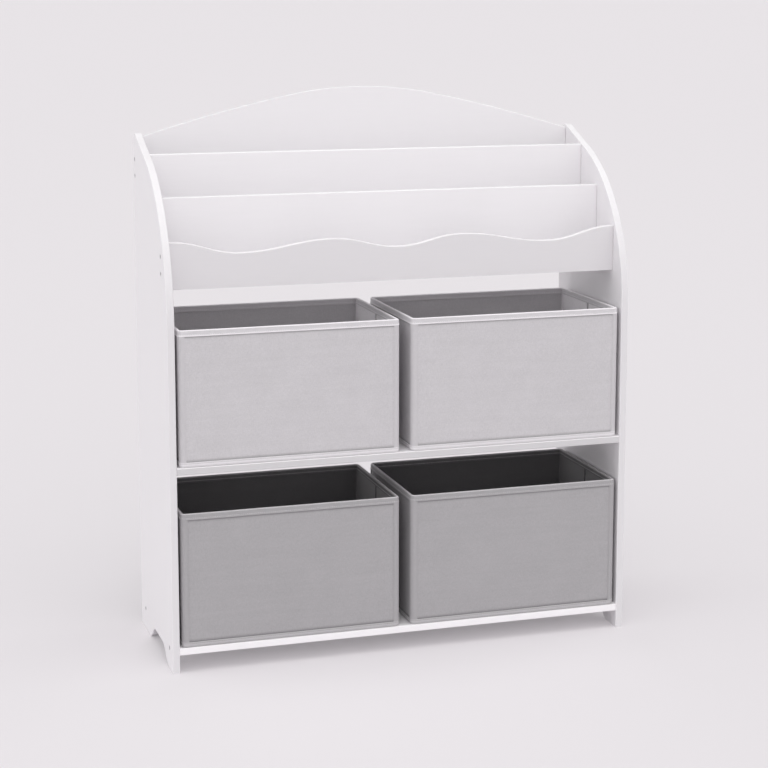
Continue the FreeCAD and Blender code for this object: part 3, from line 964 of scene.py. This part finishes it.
@dataclass
class FabricBin:
    """A fabric bin over cardboard, with sewn tapes on its rim, corners and hem.

    Sizes are in metres and waves in turns a metre, with the place of the pattern in the noise. The
    ridges and laps of the tapes are in thicknesses of the tape, from its sewn edge.
    """

    name: str
    look: BinLook
    tools: Tools
    seed: int
    # layers and their ends
    tape: float = 0.7 * MM
    fabric: float = 0.9 * MM
    wall: float = 4.0 * MM
    corner_radius: float = 8.0 * MM
    base_round: float = 1.2 * MM
    row_height: float = 6.0 * MM
    lining_lift: float = 0.1 * MM
    # soft forms of the walls
    free_across: float = 1.6
    free_upward: float = 1.4
    swell: float = 0.5 * MM
    ripple: float = 0.42 * MM
    fine_share: float = 0.25
    sway: float = 0.5 * MM
    rim_dip: float = 0.35 * MM
    lean_waves: tuple[float, float] = (9.0, 3.1)
    rim_waves: tuple[float, float] = (14.0, 8.7)
    broad_waves: float = 16.0
    fine_waves: float = 30.0
    insert_waves: tuple[float, float, float] = (6.0, 4.0, 1.7)
    seed_step: float = 7.3
    squeeze: float = 1.3
    # fold lines and seams, and the painted shade along the seams
    crease_depth: float = 2.0 * MM
    crease_half_width: float = 3.4 * MM
    crease_floor: float = 2.0 * MM
    crease_on_cover: float = 0.05
    tuck: float = 0.8 * MM
    tuck_reach: float = 5.0 * MM
    # painted shade along the seams of the rim and the hem
    seam_painted_shade: float = 0.62
    seam_painted_shade_reach: float = 0.8
    # tapes
    ridge: float = 0.7 * MM
    rim_ridge: tuple[float, float, float] = (0.6, 1.8, 4.2)
    hem_ridge: tuple[float, float, float] = (0.8, 1.8, 4.0)
    edge_lap: float = 0.3
    strip_edge_lap: float = 0.7
    top_drop: float = 1.7 * MM
    strip_leg: float = 2.8 * MM
    strip_proud: float = 0.25 * MM
    strip_lap: float = 0.2 * MM
    # covered board in the bottom
    insert_spacing: float = 9.0 * MM
    insert_puff: float = 0.45 * MM
    insert_bevel: float = 0.8 * MM
    insert_row_inset: float = 5.0 * MM
    insert_row_drop: float = 0.3 * MM
    # rows of stitches
    seam_inset: float = 3.0 * MM
    strip_seam_inset: float = 1.3 * MM
    stitch_pitch: float = 3.6 * MM
    stitch_length: float = 3.2 * MM
    stitch_unevenness: float = 0.12
    thread_radius: float = 0.42 * MM
    thread_proud: float = 0.08 * MM
    strip_thread_sunk: float = 0.12 * MM
    outline: Outline = field(init=False)
    stations: list[Station] = field(init=False)

    def __post_init__(self) -> None:
        """Reads the bin's place from the frame."""
        rim_low, rim_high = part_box(f"{self.name}_rim_binding")
        hem_low, hem_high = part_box(f"{self.name}_base_hem")
        self.base, self.hem_top = hem_low.z, hem_high.z
        self.rim_bottom, self.top = rim_low.z, rim_high.z
        self.insert_low, self.insert_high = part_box(f"{self.name}_base_insert")
        self.outline = Outline(rim_low, rim_high, self.corner_radius)
        self.fold = (rim_high.y - rim_low.y) / 2 - self.corner_radius
        self.stations = self.outline.stations({Side.LEFT: [self.fold], Side.RIGHT: [self.fold]})

    def rise(self, z: float) -> float:
        """Height as a share of the wall's height."""
        return (z - self.base) / (self.top - self.base)

    def window(self, station: Station, z: float) -> float:
        """Freedom of the wall to move.

        Args:
            station: place on the way round.
            z: height.

        Returns:
            0 at the wall's corners, base and rim, and 1 in its middle.
        """
        rise = math.sin(math.pi * min(max(self.rise(z), 0.0), 1.0))
        across = math.sin(math.pi * station.share)
        return min(1.0, self.free_across * across) * min(1.0, self.free_upward * rise)

    def waver(self, station: Station, z: float, scale: float, pattern: float) -> float:
        """Smooth unevenness between -1 and 1, by its waves in a metre and the number of its pattern."""
        x, y = (scale * place for place in station.point.xy)
        return noise.noise(Vector((x, y + self.seed * self.seed_step, z * scale * self.squeeze + pattern)))

    def lean(self, station: Station, z: float) -> float:
        """How far the wall sways outwards towards its rim, in metres."""
        free = math.sin(math.pi * station.share) * max(0.0, self.rise(z)) ** 2
        return self.sway * free * self.waver(station, 0.0, *self.lean_waves)

    def lift(self, station: Station) -> float:
        """How far the rim rises at a station, in metres, never above the level rim."""
        return -self.rim_dip * (0.5 + 0.5 * self.waver(station, 0.0, *self.rim_waves))

    def bulge(self, station: Station, z: float, layer: Layer) -> float:
        """Soft swell of one layer of fabric away from the cardboard.

        Args:
            station: place on the way round.
            z: height.
            layer: cover or lining.

        Returns:
            Metres away from the cardboard.
        """
        broad = 0.5 + 0.5 * self.waver(station, z, self.broad_waves, layer.value)
        fine = self.fine_share * self.waver(station, z * 3.0, self.fine_waves, layer.value + 5.0)
        return self.window(station, z) * max(0.0, self.swell + self.ripple * (broad + fine))

    def crease(self, station: Station) -> float:
        """Depth of the fold line halfway along a side wall.

        Args:
            station: place on the way round.

        Returns:
            Metres into the gap between the two cardboards.
        """
        if station.side not in (Side.LEFT, Side.RIGHT):
            return 0.0
        beside = abs(station.along - self.fold)
        fold = (self.crease_half_width - beside) / (self.crease_half_width - self.crease_floor)
        return self.crease_depth * min(max(fold, 0.0), 1.0)

    def from_seam(self, z: float) -> float:
        """Height of a place above or below the nearer seam, of the rim or the hem."""
        return min(abs(z - self.rim_bottom), abs(z - self.hem_top))

    def pull(self, z: float) -> float:
        """How far the seams of the rim and the hem pull the cover in, in metres."""
        return self.tuck * max(0.0, 1.0 - self.from_seam(z) / self.tuck_reach) ** 2

    def seam_painted_shade_share(self, z: float) -> float:
        """How much painted shade a row of the cover gets in the seam of the rim or the hem."""
        return self.seam_painted_shade * max(0.0, 1.0 - self.from_seam(z) / (self.seam_painted_shade_reach * self.tuck_reach))

    def push_cover(self, station: Station, z: float) -> float:
        """How far the cover stands out, in metres, without the pull of its seams."""
        soft = self.lean(station, z) + self.bulge(station, z, Layer.COVER)
        return soft - self.crease_on_cover * self.crease(station)

    def push_sewn_cover(self, station: Station, z: float) -> float:
        """How far the sewn side of the cover stands out, in metres."""
        return self.push_cover(station, z) - self.pull(z)

    def push_lining(self, station: Station, z: float) -> float:
        """How far the lining stands out, in metres."""
        return self.lean(station, z) - self.bulge(station, z, Layer.LINING) + self.crease(station)

    def ring(self, inset: float, z: float, push: Callable[[Station, float], float]) -> Ring:
        """Closed ring round the bin at a height, inside its outline and pushed out from there."""
        return [st.point + st.outward * (push(st, z) - inset) + upward(z) for st in self.stations]

    @staticmethod
    def shrunk(ring: Ring, share: float) -> Ring:
        """A level ring drawn towards its middle: 0 leaves it, 1 makes it a point."""
        middle = sum(ring, Vector()) / len(ring)
        return [point.lerp(Vector((middle.x, middle.y, point.z)), share) for point in ring]

    def heights(self, start: float, end: float, seams: Iterable[float] = ()) -> list[float]:
        """Even heights from start to end, both included, with closer rows at the seams.

        Args:
            start: first height.
            end: last height.
            seams: heights of the closer rows.

        Returns:
            The heights.
        """
        count = max(2, round(abs(end - start) / self.row_height))
        even = [start + (end - start) * i / count for i in range(count + 1)]
        inner = [z for z in even[1:-1] if all(abs(z - seam) > self.row_height / 6 for seam in seams)]
        return sorted([start, *inner, *seams, end], reverse=end < start)

    def seam_heights(self) -> list[float]:
        """Rows of the cover beside the seams of the rim and the hem."""
        steps = (-self.tuck_reach, -0.4 * self.tuck_reach, 0.0, 0.4 * self.tuck_reach)
        return [self.rim_bottom + step for step in steps] + [self.hem_top - step for step in steps]

    def cover(self) -> None:
        """Makes the outer fabric with the bottom."""
        out, r = self.tape, self.base_round
        floor, top = self.base + self.fabric, self.top - self.top_drop
        inside = [self.ring(out + self.fabric, z, self.push_cover) for z in self.heights(floor, top)]
        outside = [self.ring(out, z, self.push_sewn_cover)
                   for z in self.heights(top, self.base + r, self.seam_heights())]
        rounding = []
        for angle in (math.radians(90 * step / 4) for step in range(1, 5)):
            inset, z = out + r * (1 - math.cos(angle)), self.base + r * (1 - math.sin(angle))
            rounding.append(self.ring(inset, z, self.push_cover))
        rings = [self.shrunk(inside[0], 0.5), *inside, *outside, *rounding, self.shrunk(rounding[-1], 0.5)]
        # painted shade in the rows of the cover beside the seams
        painted_shade_shares = [0.0] * (1 + len(inside)) + [self.seam_painted_shade_share(ring[0].z) for ring in outside]
        painted_shade_shares += [0.0] * (len(rounding) + 1)
        mesh = loft("cover", rings, is_tube=False)
        keep_painted_shade(mesh, [share for share in painted_shade_shares for _ in self.stations] + [0.0, 0.0])
        obj = new_object(f"{self.name}_fabric_cover", mesh, self.look.felt)
        finish_piece(obj, self.name, self.look.felt_slot, f"{self.name}_cover")

    def lining(self) -> None:
        """Makes the inner fabric, a sleeve with a fold line in each side wall."""
        inner = self.tape + self.wall
        low, top = self.base + self.fabric + self.lining_lift, self.top - self.top_drop
        rings = [self.ring(inner - self.fabric, z, self.push_lining) for z in self.heights(low, top)]
        rings += [self.ring(inner, z, self.push_lining) for z in self.heights(top, low)]
        mesh = loft("lining", rings, is_tube=True)
        # painted shade along the fold line of each side wall
        keep_painted_shade(mesh, [self.crease(st) / self.crease_depth for st in self.stations] * len(rings))
        obj = new_object(f"{self.name}_fabric_lining", mesh, self.look.lining)
        finish_piece(obj, self.name, self.look.felt_slot, f"{self.name}_lining")

    def sweep(self, piece: str, rails: list[Rail], section: Section, node: str, material: Material) -> None:
        """Sweeps a tape and puts it on the bin.

        Args:
            piece: last part of the piece's name.
            rails: rails to follow.
            section: outwards and upwards place of each point of the tape's closed section.
            node: last part of the CAD node's name.
            material: the tape's finish.
        """
        ring = [Vector((x, y, 0.0)) for x, y in section]
        profile = wire("section", [(ring, [upward(1.0)] * len(ring), True)])
        path = wire("path", rails)
        obj = self.tools.tape.run(f"{self.name}_{piece}", path, {"Section": profile, "Material": material})
        bpy.data.objects.remove(profile)
        face_outwards(obj.data)
        obj.data.set_sharp_from_angle(angle=TAPE_SHARP_ANGLE)
        finish_piece(obj, self.name, self.look.tape_slot, f"{self.name}_{node}")

    def level_rail(self, points: Ring) -> Rail:
        """Level rail through the stations, clockwise, which turns a section's second axis upwards."""
        return points[::-1], [st.outward for st in reversed(self.stations)], True

    def rim_line(self, inset: float, z: float) -> Ring:
        """Line that follows the rim at a height, inside the outline."""
        return [st.point + st.outward * (self.lean(st, self.top) - inset) + upward(z + self.lift(st))
                for st in self.stations]

    def rim_tape(self) -> None:
        """Makes the tape folded over the rim."""
        leg = self.top - self.rim_bottom
        half, t = self.wall / 2 + self.tape, self.tape
        turn = range(0, 181, 20)
        outer, inner = arc(half, turn, y=-half), arc(half - t, turn[::-1], y=-half)
        start, end, fade = (t * share - leg for share in self.rim_ridge)
        swell = [(0.0, -leg), (self.ridge, start), (self.ridge, end), (0.0, fade)]
        right = [(half + x, y) for x, y in swell]
        left = [(-half - x, y) for x, y in reversed(swell)]
        lap = t * self.edge_lap - leg
        section = [*right, *outer, *left, (-half + t, lap), *inner, (half - t, lap)]
        line = self.rim_line(self.tape + self.wall / 2, self.top)
        self.sweep("rim_tape", [self.level_rail(line)], section, "rim_binding", self.look.rim)

    def hem_tape(self) -> None:
        """Makes the band round the bottom edge, turned slightly under."""
        height, r, t = self.hem_top - self.base, self.base_round, self.tape
        turn = range(0, -91, -18)
        outer, inner = arc(r, turn, x=-r, y=r), arc(r - t, turn[::-1], x=-r, y=r)
        start, end, fade = (height - t * share for share in self.hem_ridge)
        section = [(0.0, height), (self.ridge, start), (self.ridge, end), (0.0, fade), *outer, *inner,
                   (-t, height - t * self.edge_lap)]
        line = [st.point + upward(self.base) for st in self.stations]
        self.sweep("hem_tape", [self.level_rail(line)], section, "base_hem", self.look.hem)

    def corner_tapes(self) -> None:
        """Makes the strip up each of the four corners."""
        r, t = self.corner_radius, self.tape
        low, high = self.hem_top - self.strip_lap, self.rim_bottom + self.strip_lap
        turn = range(-45, 46, 15)
        outer, inner = arc(r + self.strip_proud, turn), arc(r - t, turn[::-1])
        leg_x, leg_y = arc(self.strip_leg, [45])[0]
        start_x, start_y = arc(r, turn)[0]
        x, y, lap = start_x - leg_x, start_y - leg_y, t * self.strip_edge_lap
        section = [(x - lap, y + lap), (x, y), *outer, (x, -y), (x - lap, -y - lap), *inner]
        steps = self.outline.corner_steps
        rails = []
        for st in [st for st in self.stations if st.side is None][steps // 2 - 1::steps - 1]:
            centre = st.point - st.outward * r
            line = [Vector((centre.x, centre.y, z)) for z in self.heights(low, high)]
            rails.append((line, [st.outward] * len(line), False))
        self.sweep("corner_tapes", rails, section, "corner_piping", self.look.strip)

    def insert(self) -> None:
        """Makes the loose covered board in the bottom, slightly puffed between its edges."""
        low, high, puff = self.insert_low, self.insert_high, self.insert_puff
        size = high - low
        columns, rows = round(size.x / self.insert_spacing), round(size.y / self.insert_spacing)
        waves_u, waves_v, pattern = self.insert_waves
        bm = bmesh.new()
        grids = []
        for z, swell in ((low.z, 0.0), (high.z - puff, puff)):
            grid = []
            for v in (j / rows for j in range(rows + 1)):
                line = []
                for u in (i / columns for i in range(columns + 1)):
                    free = min(1.0, 6 * math.sin(math.pi * u) * math.sin(math.pi * v))
                    wave = noise.noise(Vector((u * waves_u + self.seed, v * waves_v, pattern)))
                    height = z + swell * free * (0.6 + 0.4 * wave)
                    line.append(bm.verts.new((low.x + size.x * u, low.y + size.y * v, height)))
                grid.append(line)
            for lower, upper in zip(grid, grid[1:]):
                for i in range(columns):
                    bm.faces.new((lower[i], lower[i + 1], upper[i + 1], upper[i]))
            grids.append(grid)
        under, over = (self.border(grid) for grid in grids)
        for i in range(len(under)):
            j = (i + 1) % len(under)
            bm.faces.new((under[i], under[j], over[j], over[i]))
        obj = new_object(f"{self.name}_covered_insert", smooth_mesh("insert", bm), self.look.lining)
        bevel = obj.modifiers.new("soft_edge", "BEVEL")
        bevel.width, bevel.segments, bevel.limit_method = self.insert_bevel, 3, "ANGLE"
        bevel.angle_limit = math.radians(40.0)
        finish_piece(obj, self.name, self.look.felt_slot, f"{self.name}_base_insert")

    @staticmethod
    def border(grid: list[list[bmesh.types.BMVert]]) -> list[bmesh.types.BMVert]:
        """The outer vertices of a grid, in order all the way round."""
        right, left = [line[-1] for line in grid[1:]], [line[0] for line in grid[1:-1]]
        return [*grid[0], *right, *reversed(grid[-1][:-1]), *reversed(left)]

    def sew(self, piece: str, rails: list[Rail], thread: Material) -> None:
        """Sets stitches along rails, as one mesh.

        Args:
            piece: last part of the piece's name.
            rails: rails to follow.
            thread: the thread's finish.
        """
        values = {
            "Pitch": self.stitch_pitch, "Stitch Length": self.stitch_length,
            "Thread Radius": self.thread_radius, "Unevenness": self.stitch_unevenness, "Seed": self.seed,
            "Material": thread,
        }
        obj = self.tools.stitches.run(f"{self.name}_{piece}", wire("stitch_rows", rails), values)
        finish_piece(obj, self.name, self.look.tape_slot)

    def stitches(self) -> None:
        """Makes every stitch of the bin: bright rows on the tapes, soft ones elsewhere."""
        rim_row, hem_row = self.rim_bottom + self.seam_inset, self.hem_top - self.seam_inset
        inner = 2 * self.tape + self.wall
        ways = [st.outward for st in self.stations]
        rim_rails = []
        for inset in (-self.thread_proud, inner + self.thread_proud):
            line = self.rim_line(inset, rim_row)
            rim_rails.append((line, ways, True))
        line = [st.point + st.outward * self.thread_proud + upward(hem_row) for st in self.stations]
        self.sew("tape_stitches", [*rim_rails, (line, ways, True)], self.look.thread)
        self.sew("soft_stitches", [*self.corner_rows(), self.insert_row()], self.look.soft_thread)

    def corner_rows(self) -> list[Rail]:
        """The two upright rows of stitches at each corner.

        Returns:
            The rows.
        """
        rails = []
        reach = self.strip_leg - self.strip_seam_inset
        ends = [self.hem_top + self.seam_inset, self.rim_bottom - self.seam_inset]
        for st in self.stations:
            if st.side is not None and st.along in (0.0, st.length):
                step = st.side.onward * (reach if st.along == 0.0 else -reach)
                spot = st.point + step - st.outward * self.strip_thread_sunk
                rails.append(([Vector((spot.x, spot.y, z)) for z in ends], [st.outward] * 2, False))
        return rails

    def insert_row(self) -> Rail:
        """The row of stitches round the covered board.

        Returns:
            The row.
        """
        inset, z = self.insert_row_inset, self.insert_high.z - self.insert_row_drop
        left, front, _ = self.insert_low
        right, rear, _ = self.insert_high
        spots = [(left + inset, front + inset), (right - inset, front + inset),
                 (right - inset, rear - inset), (left + inset, rear - inset)]
        return [Vector((x, y, z)) for x, y in spots], [upward(1.0)] * len(spots), True

    def build(self) -> None:
        """Makes every piece of the bin and dresses its boards."""
        for make in (self.cover, self.lining, self.rim_tape, self.hem_tape, self.corner_tapes, self.insert,
                     self.stitches):
            make()
        for board in ("front_board", "back_board", "side_boards"):
            dress(f"{self.name}_{board}", self.look.cardboard)


# ---- cabinet ----------------------------------------------------------------
@dataclass
class Cabinet:
    """The painted boards, their screws and their dowels."""

    effects: Effects
    # one white paint on every board; the whites per board paint in light and shade, the wave and arched
    # boards darker, the shelves lighter
    rack_white: Color = (0.885, 0.866, 0.885)
    arch_shaded_white: Color = (0.862, 0.844, 0.862)
    wave_shaded_white: Color = (0.740, 0.721, 0.740)
    side_white: Color = (0.858, 0.839, 0.858)
    shelf_lit_white: Color = (0.925, 0.905, 0.925)
    gloss: float = 0.46
    side_gloss: float = 0.44

    def lacquer(self, boards: str, tone: Color, thin: Thin, **edges: float) -> Material:
        """Paint of boards with level streaks, by what they are called and the painted light and shade of
        their edges.
        """
        return Paint(f"lacquer_{boards}", tone, self.gloss, Run.ACROSS, thin, **edges).build(self.effects)

    def finishes(self) -> dict[str, Material]:
        """Every finish of the cabinet, by the node that it dresses.

        Returns:
            The materials.
        """
        # the edge values paint light and shade: the middle shelf's front darker, the bottom shelf's and wave
        # board's edges lighter
        rack = self.lacquer("rack_boards", self.rack_white, Thin.Y)
        arch = self.lacquer("arched_board", self.arch_shaded_white, Thin.Y, edge_shade=0.84, top_edge_shade=0.84)
        wave = self.lacquer("wave_board", self.wave_shaded_white, Thin.Y, top_edge_shade=1.13)
        side = Paint("lacquer_side_panels", self.side_white, self.side_gloss, Run.UPRIGHT, Thin.X,
                     edge_shade=0.88).build(self.effects)
        level = self.lacquer("pocket_floors", self.rack_white, Thin.Z)
        middle = self.lacquer("middle_shelf", self.shelf_lit_white, Thin.Z, edge_shade=0.69)
        bottom = self.lacquer("bottom_shelf", self.shelf_lit_white, Thin.Z, edge_shade=1.03)
        zinc = Zinc("zinc_plated_screws", (0.50, 0.50, 0.51), 0.34)
        beech = Fibrous("raw_beech_dowels", (0.62, 0.43, 0.26), 0.7, dark_tone=(0.42, 0.27, 0.15),
                        grain_scale=900.0, stretch=(0.1, 1.0, 1.0))
        return {
            "left_side_panel": side, "right_side_panel": side, "wave_front_board": wave,
            "middle_divider": rack, "rear_divider": rack, "arched_back_board": arch,
            "front_pocket_floor": level, "middle_pocket_floor": level, "rear_pocket_floor": level,
            "middle_shelf": middle, "bottom_shelf": bottom,
            "side_screws": zinc.build(self.effects), "dowels": beech.build(self.effects),
        }

    def dress(self) -> None:
        """Gives every piece of the cabinet its finish."""
        for node, material in self.finishes().items():
            dress(node, material)


# ---- studio -----------------------------------------------------------------
@dataclass(frozen=True)
class Lamp:
    """A far, soft lamp, by where it stands and its strength; angles in degrees."""

    name: str
    azimuth: float
    elevation: float
    strength: float
    softness: float

    def build(self) -> None:
        """Adds the lamp."""
        data = bpy.data.lights.new(self.name, "SUN")
        data.energy = self.strength * math.pi
        data.angle = math.radians(self.softness)
        obj = bpy.data.objects.new(self.name, data)
        a, e = math.radians(self.azimuth), math.radians(self.elevation)
        back = Vector((math.sin(a) * math.cos(e), -math.cos(a) * math.cos(e), math.sin(e)))
        obj.rotation_euler = (-back).to_track_quat("-Z", "Y").to_euler()
        bpy.context.scene.collection.objects.link(obj)


@dataclass
class Studio:
    """Pale floor, a sky that glows from both sides and soft lamps."""

    backdrop: Color = (0.823, 0.791, 0.815)
    floor_tone: Color = (0.757, 0.728, 0.750)
    floor_glow: float = 0.25
    floor_half: float = 400.0
    left_glow: float = 1.23
    right_glow: float = 0.38
    lamps: tuple[Lamp, ...] = (
        Lamp("key_front_right", 50.0, 45.0, 0.47, 100.0),
        Lamp("low_front", -15.0, 22.0, 0.12, 40.0),
        Lamp("high_left", -60.0, 68.0, 0.20, 60.0),
        Lamp("overhead", 0.0, 88.0, 0.15, 40.0),
    )

    def build(self) -> None:
        """Makes the floor, the sky and the lamps."""
        self.floor()
        self.sky()
        for lamp in self.lamps:
            lamp.build()

    @staticmethod
    def seen(s: Sketch) -> NodeSocket:
        """Whether the camera sees the surface, straight or in a mirror or through glass.

        Args:
            s: the sketch that is drawn in.

        Returns:
            1 where it does, and 0 for the light that falls on the object.
        """
        ray = s.add("ShaderNodeLightPath").outputs
        indirect = s.math("MAXIMUM", ray["Is Glossy Ray"], ray["Is Transmission Ray"])
        return s.math("MAXIMUM", ray["Is Camera Ray"], indirect)

    def floor(self) -> None:
        """Adds the floor, which shows some plain backdrop colour to the camera and keeps its shadows."""
        h = self.floor_half
        mesh = bpy.data.meshes.new("studio_floor")
        mesh.from_pydata([(-h, -h, 0), (h, -h, 0), (h, h, 0), (-h, h, 0)], [], [(0, 1, 2, 3)])
        material = bpy.data.materials.new("pale_studio_floor")
        s = bare_sketch(material)
        matt = s.add("ShaderNodeBsdfDiffuse", {"Color": opaque(self.floor_tone)})
        plain = s.add("ShaderNodeEmission", {"Color": opaque(self.backdrop), "Strength": 1.0})
        share = s.math("MULTIPLY", self.seen(s), self.floor_glow)
        mix = s.add("ShaderNodeMixShader", {0: share, 1: matt.outputs[0], 2: plain.outputs[0]})
        s.add("ShaderNodeOutputMaterial", {"Surface": mix.outputs[0]})
        new_object("studio_floor", mesh, material)

    def sky(self) -> None:
        """Adds the light from both sides and the plain background."""
        world = bpy.data.worlds.new("studio_sky")
        bpy.context.scene.world = world
        s = bare_sketch(world)
        across = s.parts(s.add("ShaderNodeTexCoord").outputs["Generated"])[0]
        left, right = (s.math("MULTIPLY", across, glow) for glow in (-self.left_glow, self.right_glow))
        strength = s.math("MAXIMUM", left, right)
        light = s.add("ShaderNodeBackground", {"Color": (1.0,) * 4, "Strength": strength})
        plain = s.add("ShaderNodeBackground", {"Color": opaque(self.backdrop), "Strength": 1.0})
        mix = s.add("ShaderNodeMixShader", {0: self.seen(s), 1: light.outputs[0], 2: plain.outputs[0]})
        s.add("ShaderNodeOutputWorld", {"Surface": mix.outputs[0]})


@dataclass(frozen=True)
class PhotoCamera:
    """Camera at the photograph's place; angles in radians."""

    place: Axis = (-0.9612, -3.0790, 1.0942)
    yaw: float = 0.3042
    pitch: float = 0.1545
    focal_pixels: float = 1904.08
    sensor: float = 36.0
    shift_up: float = -0.12

    def build(self) -> None:
        """Adds the camera and makes it the scene's."""
        data = bpy.data.cameras.new("photo_camera")
        data.sensor_width = self.sensor
        data.lens = self.focal_pixels * self.sensor / IMAGE_SIDE
        data.shift_y = self.shift_up
        obj = bpy.data.objects.new("photo_camera", data)
        obj.location = self.place
        obj.rotation_euler = Euler((math.pi / 2 - self.pitch, 0.0, -self.yaw))
        bpy.context.scene.collection.objects.link(obj)
        bpy.context.scene.camera = obj


# ---- colours of the bins ----------------------------------------------------
@dataclass(frozen=True)
class BinTones:
    """Colours of a bin's fabrics, the painted light on the lining's sideways walls, and the painted
    highlights on the ridges and painted shade on the inner leg of its rim tape.
    """

    shade: str
    felt: Color
    lining: Color
    lining_sheen: float
    lining_side_painted_light: float
    hem: Color
    rim: Color
    thread: Color
    lower_ridge_highlight: float
    upper_ridge_highlight: float
    ridge_end: float
    inner_leg_painted_shade: float

    def rim_painted_light_bands(self) -> tuple[PaintedLightBand, ...]:
        """Painted highlights on the rim tape's ridges and painted shade on its inner leg, across its section
        from the outer edge over the fold.

        Returns:
            The stripes.
        """
        return (
            PaintedLightBand(0.9 * MM, 2.9 * MM, self.lower_ridge_highlight),
            PaintedLightBand(9.9 * MM, self.ridge_end, self.upper_ridge_highlight),
            PaintedLightBand(16.2 * MM, 30.0 * MM, self.inner_leg_painted_shade),
        )


# painted highlights on the hem tape's top edge and middle
HEM_PAINTED_HIGHLIGHTS = (PaintedLightBand(0.0, 2.0 * MM, 1.10), PaintedLightBand(3.6 * MM, 6.4 * MM, 1.22))
STRIP_GAIN, THREAD_GAIN, PLY_GAIN = 1.02, 1.06, 0.7
# the lining's side light, the ridge highlights and the inner-leg shade below are painted light and shade
BIN_TONES = {
    "upper": BinTones(
        shade="light_grey", felt=(0.602, 0.584, 0.602),
        lining=(0.570, 0.553, 0.570), lining_sheen=0.5, lining_side_painted_light=0.62,
        hem=(0.70, 0.68, 0.70), rim=(0.66, 0.64, 0.66), thread=(0.93, 0.91, 0.93),
        lower_ridge_highlight=1.33, upper_ridge_highlight=1.38, ridge_end=15.2 * MM, inner_leg_painted_shade=1.0,
    ),
    "lower": BinTones(
        shade="dark_grey", felt=(0.412, 0.400, 0.412),
        lining=(0.144, 0.139, 0.144), lining_sheen=0.3, lining_side_painted_light=0.64,
        hem=(0.46, 0.447, 0.46), rim=(0.385, 0.374, 0.385), thread=(0.66, 0.645, 0.66),
        lower_ridge_highlight=1.08, upper_ridge_highlight=1.50, ridge_end=13.4 * MM, inner_leg_painted_shade=0.46,
    ),
}


def thread_finish(name: str, tone: Color) -> Fibrous:
    """Sewing thread of a colour, darker between its plies."""
    return Fibrous(name, tone, 0.6, dark_tone=scaled(tone, PLY_GAIN), grain_scale=2500.0)


def bin_looks(effects: Effects) -> dict[str, BinLook]:
    """The light look of the upper bins and the darker one of the lower bins.

    Args:
        effects: the shared shader groups.

    Returns:
        The look of each row of bins.
    """
    cardboard = Fibrous("grey_cardboard", (0.50, 0.42, 0.33), 0.9, dark_tone=(0.36, 0.29, 0.22),
                        grain_scale=260.0, stretch=(1.0, 1.0, 0.3)).build(effects)
    looks = {}
    for level, t in BIN_TONES.items():
        finishes = {
            "felt": Felt(f"{t.shade}_felt", t.felt, 0.88),
            "lining": Felt(f"{t.shade}_lining_felt", t.lining, 0.9, sheen=t.lining_sheen,
                           side_painted_light=t.lining_side_painted_light),
            "rim": Tape(f"{t.shade}_rim_tape", t.rim, 0.75, t.rim_painted_light_bands()),
            "hem": Tape(f"{t.shade}_hem_tape", t.hem, 0.75, HEM_PAINTED_HIGHLIGHTS),
            "strip": Tape(f"{t.shade}_corner_tape", scaled(t.felt, STRIP_GAIN), 0.8),
            "thread": thread_finish(f"{t.shade}_tape_thread", t.thread),
            "soft_thread": thread_finish(f"{t.shade}_soft_thread", scaled(t.felt, THREAD_GAIN)),
        }
        built = {part: finish.build(effects) for part, finish in finishes.items()}
        looks[level] = BinLook(**built, cardboard=cardboard, felt_slot=f"{t.shade}_fabric",
                               tape_slot=f"{t.shade}_tape")
    return looks


def main() -> None:
    """Builds the camera, the studio, the cabinet and the four bins."""
    logging.basicConfig(level=logging.INFO, format="%(name)s %(message)s", stream=sys.stdout)
    bpy.context.scene.view_settings.view_transform = "Standard"
    PhotoCamera().build()
    Studio().build()
    effects = Effects()
    Cabinet(effects).dress()
    looks = bin_looks(effects)
    tools = Tools(stitch_tool(), tape_tool())
    for seed, (level, hand) in enumerate(product(("upper", "lower"), ("left", "right")), 1):
        FabricBin(f"{level}_{hand}_bin", looks[level], tools, seed).build()


if __name__ == "__main__":
    main()
